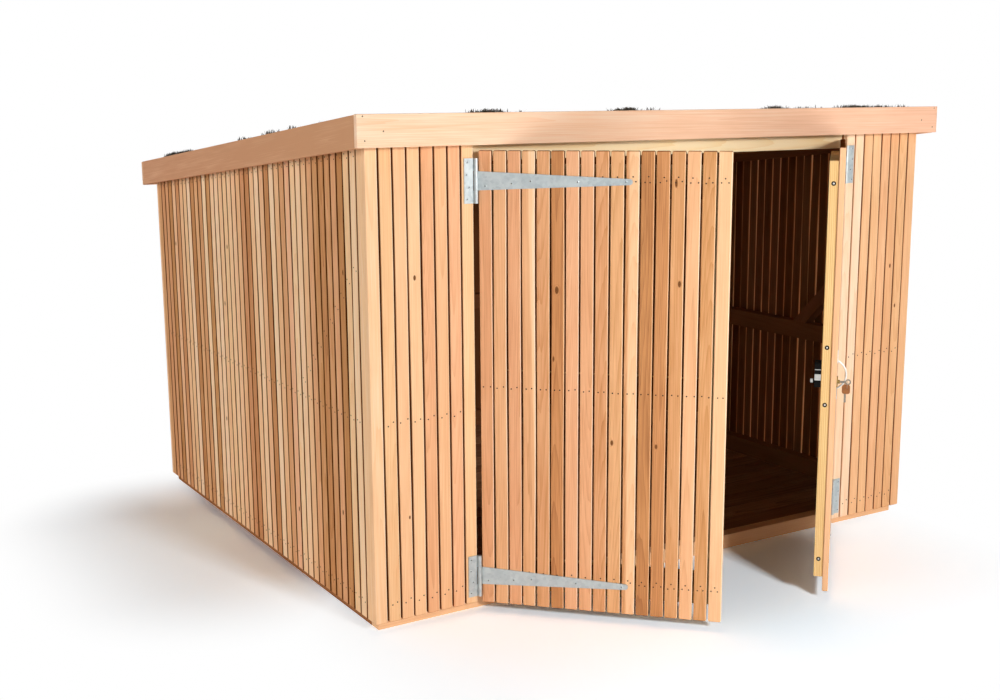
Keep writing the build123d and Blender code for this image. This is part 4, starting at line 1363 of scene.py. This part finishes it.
class SHELTER_OT_lock(ShelterOperator, bpy.types.Operator):
    """Fit the bow handle, key ring, tag and screws of the right door"""

    bl_idname = "shelter.lock"
    bl_label = "Lock"

    # All but the stile screws' places in millimetres. Handle: steps of its arc, sides of its bar and
    # rounding of its plates
    bow_steps, bow_sides, plate_rounding = 25, 14, 3
    # Latch: depth of the knob behind the case, margin beside the plates and their rounding, then each plate's
    # height over the cylinder, own height and thickness
    knob_depth, latch_margin, latch_rounding = 12, 1, 1
    latch_plates = ((14.5, 19, 1.4), (38, 2, 0.6))
    # Knob's cap: its foot before the knob's end, and radius and height along its profile
    cap_foot, cap_profile, cap_sides = 8, ((6.8, 0), (6.8, 7.6), (5.6, 8.6)), 24
    # Key ring: radius of its wire, points round it, how far it hooks into the bow and hangs inwards
    ring_wire, ring_points, wire_sides, ring_hook, ring_inward = 0.8, 32, 8, 3, 2.4
    # Hanging plates: places from the ring's foot, sides and rounding
    tag_plate = (-2.4, 3, -3), (2, 24, 29), 7
    spare_bow, spare_blade = ((2.4, 3, -7), (1.8, 16, 17), 7), ((2.4, 5, -29), (1.8, 6, 32), 1)
    # Stile screws: place on the closed door's edge and heights in metres, then the profiles of the bore's
    # painted shade and of the head as shares of their radius and heights in millimetres
    screw_x, screw_y, screw_heights = 0.019, -0.929, np.array((1.296, 0.802, 0.624, 0.131))
    bore_profile, head_profile = ((1, 0), (0.94, 0.2)), ((1, 0.2), (1, 0.5), (0.6, 0.9))
    head_share, screw_sides = 0.4, 20
    quarter_steps = 5

    def execute(self, context):
        metal = context.scene.shelter.metal
        bright, nickel = bright_steel(), dull_nickel()
        for node, material in (("lock_cylinder", worn_brass()), ("door_key", nickel),
                               ("lock_case", black_lacquer())):
            coat(node, material)
        self.handle(metal, bright_zinc())
        self.latch(bright)
        self.keys(metal, nickel)
        self.stile_screws(metal, bright)
        return {"FINISHED"}

    def fit(self, name, shape, material, slot, stands_for=()):
        """Put a shape drawn on the closed right door on the door as it stands."""
        points, blocks = shape
        mesh = mesh_from(name, swing(points, RIGHT_HINGE), blocks)
        place(name, mesh, material, "right_door", slot, stands_for)

    def handle(self, metal, bright):
        """Bow of round bar: an arc of a circle that rises from a flat plate at each end."""
        low, high = closed_box("pull_handle")
        bar, half, thick = metal.handle_bar, metal.handle_bow / 2, metal.handle_plate
        x, face, height = (low[0] + high[0]) / 2, high[1] - thick, (low[2] + high[2]) / 2
        rise = face - low[1] - bar
        radius = (half ** 2 + rise ** 2) / (2 * rise)
        angle = np.linspace(-1, 1, self.bow_steps) * math.asin(half / radius)
        path = np.stack([0 * angle + x, face + radius - rise - radius * np.cos(angle),
                         height + radius * np.sin(angle)], -1)
        length, wide = high[2] - height - half + 2 * bar, high[0] - low[0]
        sides, rounding = (wide, thick, length), self.plate_rounding * MM
        plates = [self.plate((x, face + thick / 2, middle), sides, rounding, 1)
                  for middle in (low[2] + length / 2, high[2] - length / 2)]
        self.fit("bow_handle", join(tube(path, bar, self.bow_sides), *plates), bright,
                 NODE_SLOT["pull_handle"], ["pull_handle"])

    def latch(self, bright):
        """A steel latch and its fixing strip on the edge of the lock case, and a bright cap on its knob."""
        low, high = closed_box("lock_case")
        cylinder = np.mean(closed_box("lock_cylinder"), axis=0)
        knob_end = high[1]
        case_back = knob_end - self.knob_depth * MM
        middle, deep = (low[1] + case_back) / 2, case_back - low[1] - self.latch_margin * MM
        plates = [self.plate((low[0] - thick / 2, middle, cylinder[2] + up), (thick, deep, tall),
                             self.latch_rounding * MM, 0)
                  for up, tall, thick in np.array(self.latch_plates) * MM]
        foot = np.array([(cylinder[0], knob_end - self.cap_foot * MM, cylinder[2])])
        cap = turned_heads(foot, np.array([(0, 1.0, 0)]), np.array(self.cap_profile) * MM, self.cap_sides)
        self.fit("lock_latch", join(*plates, cap), bright, NODE_SLOT["lock_case"])

    def keys(self, metal, nickel):
        """A ring through the key's bow, with a leather tag and a second key hanging from it."""
        low, high = closed_box("door_key")
        bow, radius = (high[2] - low[2]) / 2, metal.ring_radius
        x, y = (low[0] + high[0]) / 2, low[1] + bow + self.ring_inward * MM
        z = (low[2] + high[2]) / 2 - radius + self.ring_hook * MM
        angle = np.linspace(0, 2 * np.pi, self.ring_points, endpoint=False)
        path = np.stack([x + radius * np.sin(angle), 0 * angle + y, z + radius * np.cos(angle)], -1)
        foot = np.array((x, y, z - radius))
        tag, spare_bow, spare_blade = (
            self.plate(foot + np.array(middle) * MM, np.array(sides) * MM, rounding * MM, 0)
            for middle, sides, rounding in (self.tag_plate, self.spare_bow, self.spare_blade))
        ring = tube(path, self.ring_wire * MM, self.wire_sides, closed=True)
        for name, shape, material in (("key_ring", ring, nickel), ("leather_tag", tag, brown_leather()),
                                      ("spare_key", join(spare_bow, spare_blade), nickel)):
            self.fit(name, shape, material, NODE_SLOT["door_key"])

    def plate(self, middle, sides, rounding, thin):
        """A flat plate round its middle: a rectangle with quarter circles at its corners, carried through
        the plate's thin way."""
        quarter_turns = np.arange(4)[:, None] * np.pi / 2
        turn = np.linspace(0, np.pi / 2, self.quarter_steps)[None] + quarter_turns
        quarter = np.array([(1, 1), (-1, 1), (-1, -1), (1, -1)])
        first, second = ((1, 2), (2, 0))[thin]
        half = np.array((sides[first], sides[second])) / 2 - rounding
        outline = quarter[:, None] * half + rounding * np.stack([np.cos(turn), np.sin(turn)], -1)
        outline = outline.reshape(-1, 2)
        count = len(outline)
        points = np.zeros((2, count, 3)) + middle
        points[..., first] += outline[:, 0]
        points[..., second] += outline[:, 1]
        points[..., thin] += np.array((-0.5, 0.5))[:, None] * sides[thin]
        index = np.arange(2 * count).reshape(2, count)
        return points.reshape(-1, 3), [between_rings(index), np.stack([index[0, ::-1], index[1]])]

    def stile_screws(self, metal, bright):
        """Sunk screws up the free edge of the door: a black rim of painted shade in the bore, with a bright
        head in it.
        """
        heights = self.screw_heights
        spots = np.stack([0 * heights + self.screw_x, 0 * heights + self.screw_y, heights], -1)
        ways = np.broadcast_to(np.array((-1.0, 0, 0)), spots.shape)
        rim = metal.stile_screw_head
        for name, profile, radius, material in (
                ("stile_screw_bores", self.bore_profile, rim, black_recess()),
                ("stile_screw_heads", self.head_profile, rim * self.head_share, bright)):
            heads = turned_heads(spots, ways, np.array(profile) * (radius, MM), self.screw_sides)
            self.fit(name, heads, material, "lock_steel")


class SHELTER_OT_materials(ShelterOperator, bpy.types.Operator):
    """Make the timber materials"""

    bl_idname = "shelter.materials"
    bl_label = "Materials"

    def execute(self, context):
        timber = context.scene.shelter.timber
        for make in (planed_larch, fascia_larch, planed_pine, brown_floorboard):
            make(timber)
        return {"FINISHED"}


class SHELTER_PT_looks(bpy.types.Panel):
    """Lists the shelter's operators"""

    bl_label = "Shelter"
    bl_idname = "SHELTER_PT_looks"
    bl_space_type = "VIEW_3D"
    bl_region_type = "UI"
    bl_category = "Shelter"

    def draw(self, context):
        for operator in OPERATORS:
            self.layout.operator(operator.bl_idname)


SETTINGS = (TimberSettings, RoofSettings, MetalSettings, StageSettings, ShelterSettings)
OPERATORS = (SHELTER_OT_materials, SHELTER_OT_stage, SHELTER_OT_wall_slats, SHELTER_OT_door_slats,
             SHELTER_OT_frame_timbers, SHELTER_OT_floor_boards, SHELTER_OT_fascias, SHELTER_OT_nails,
             SHELTER_OT_hinges, SHELTER_OT_sedum, SHELTER_OT_lock)
CLASSES = (*SETTINGS, *OPERATORS, SHELTER_PT_looks)


def register():
    for item in CLASSES:
        bpy.utils.register_class(item)
    bpy.types.Scene.shelter = PointerProperty(type=ShelterSettings)


def unregister():
    del bpy.types.Scene.shelter
    for item in reversed(CLASSES):
        bpy.utils.unregister_class(item)


def main():
    """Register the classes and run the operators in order."""
    register()
    for operator in OPERATORS:
        group, name = operator.bl_idname.split(".")
        getattr(getattr(bpy.ops, group), name)()


if __name__ == "__main__":
    main()
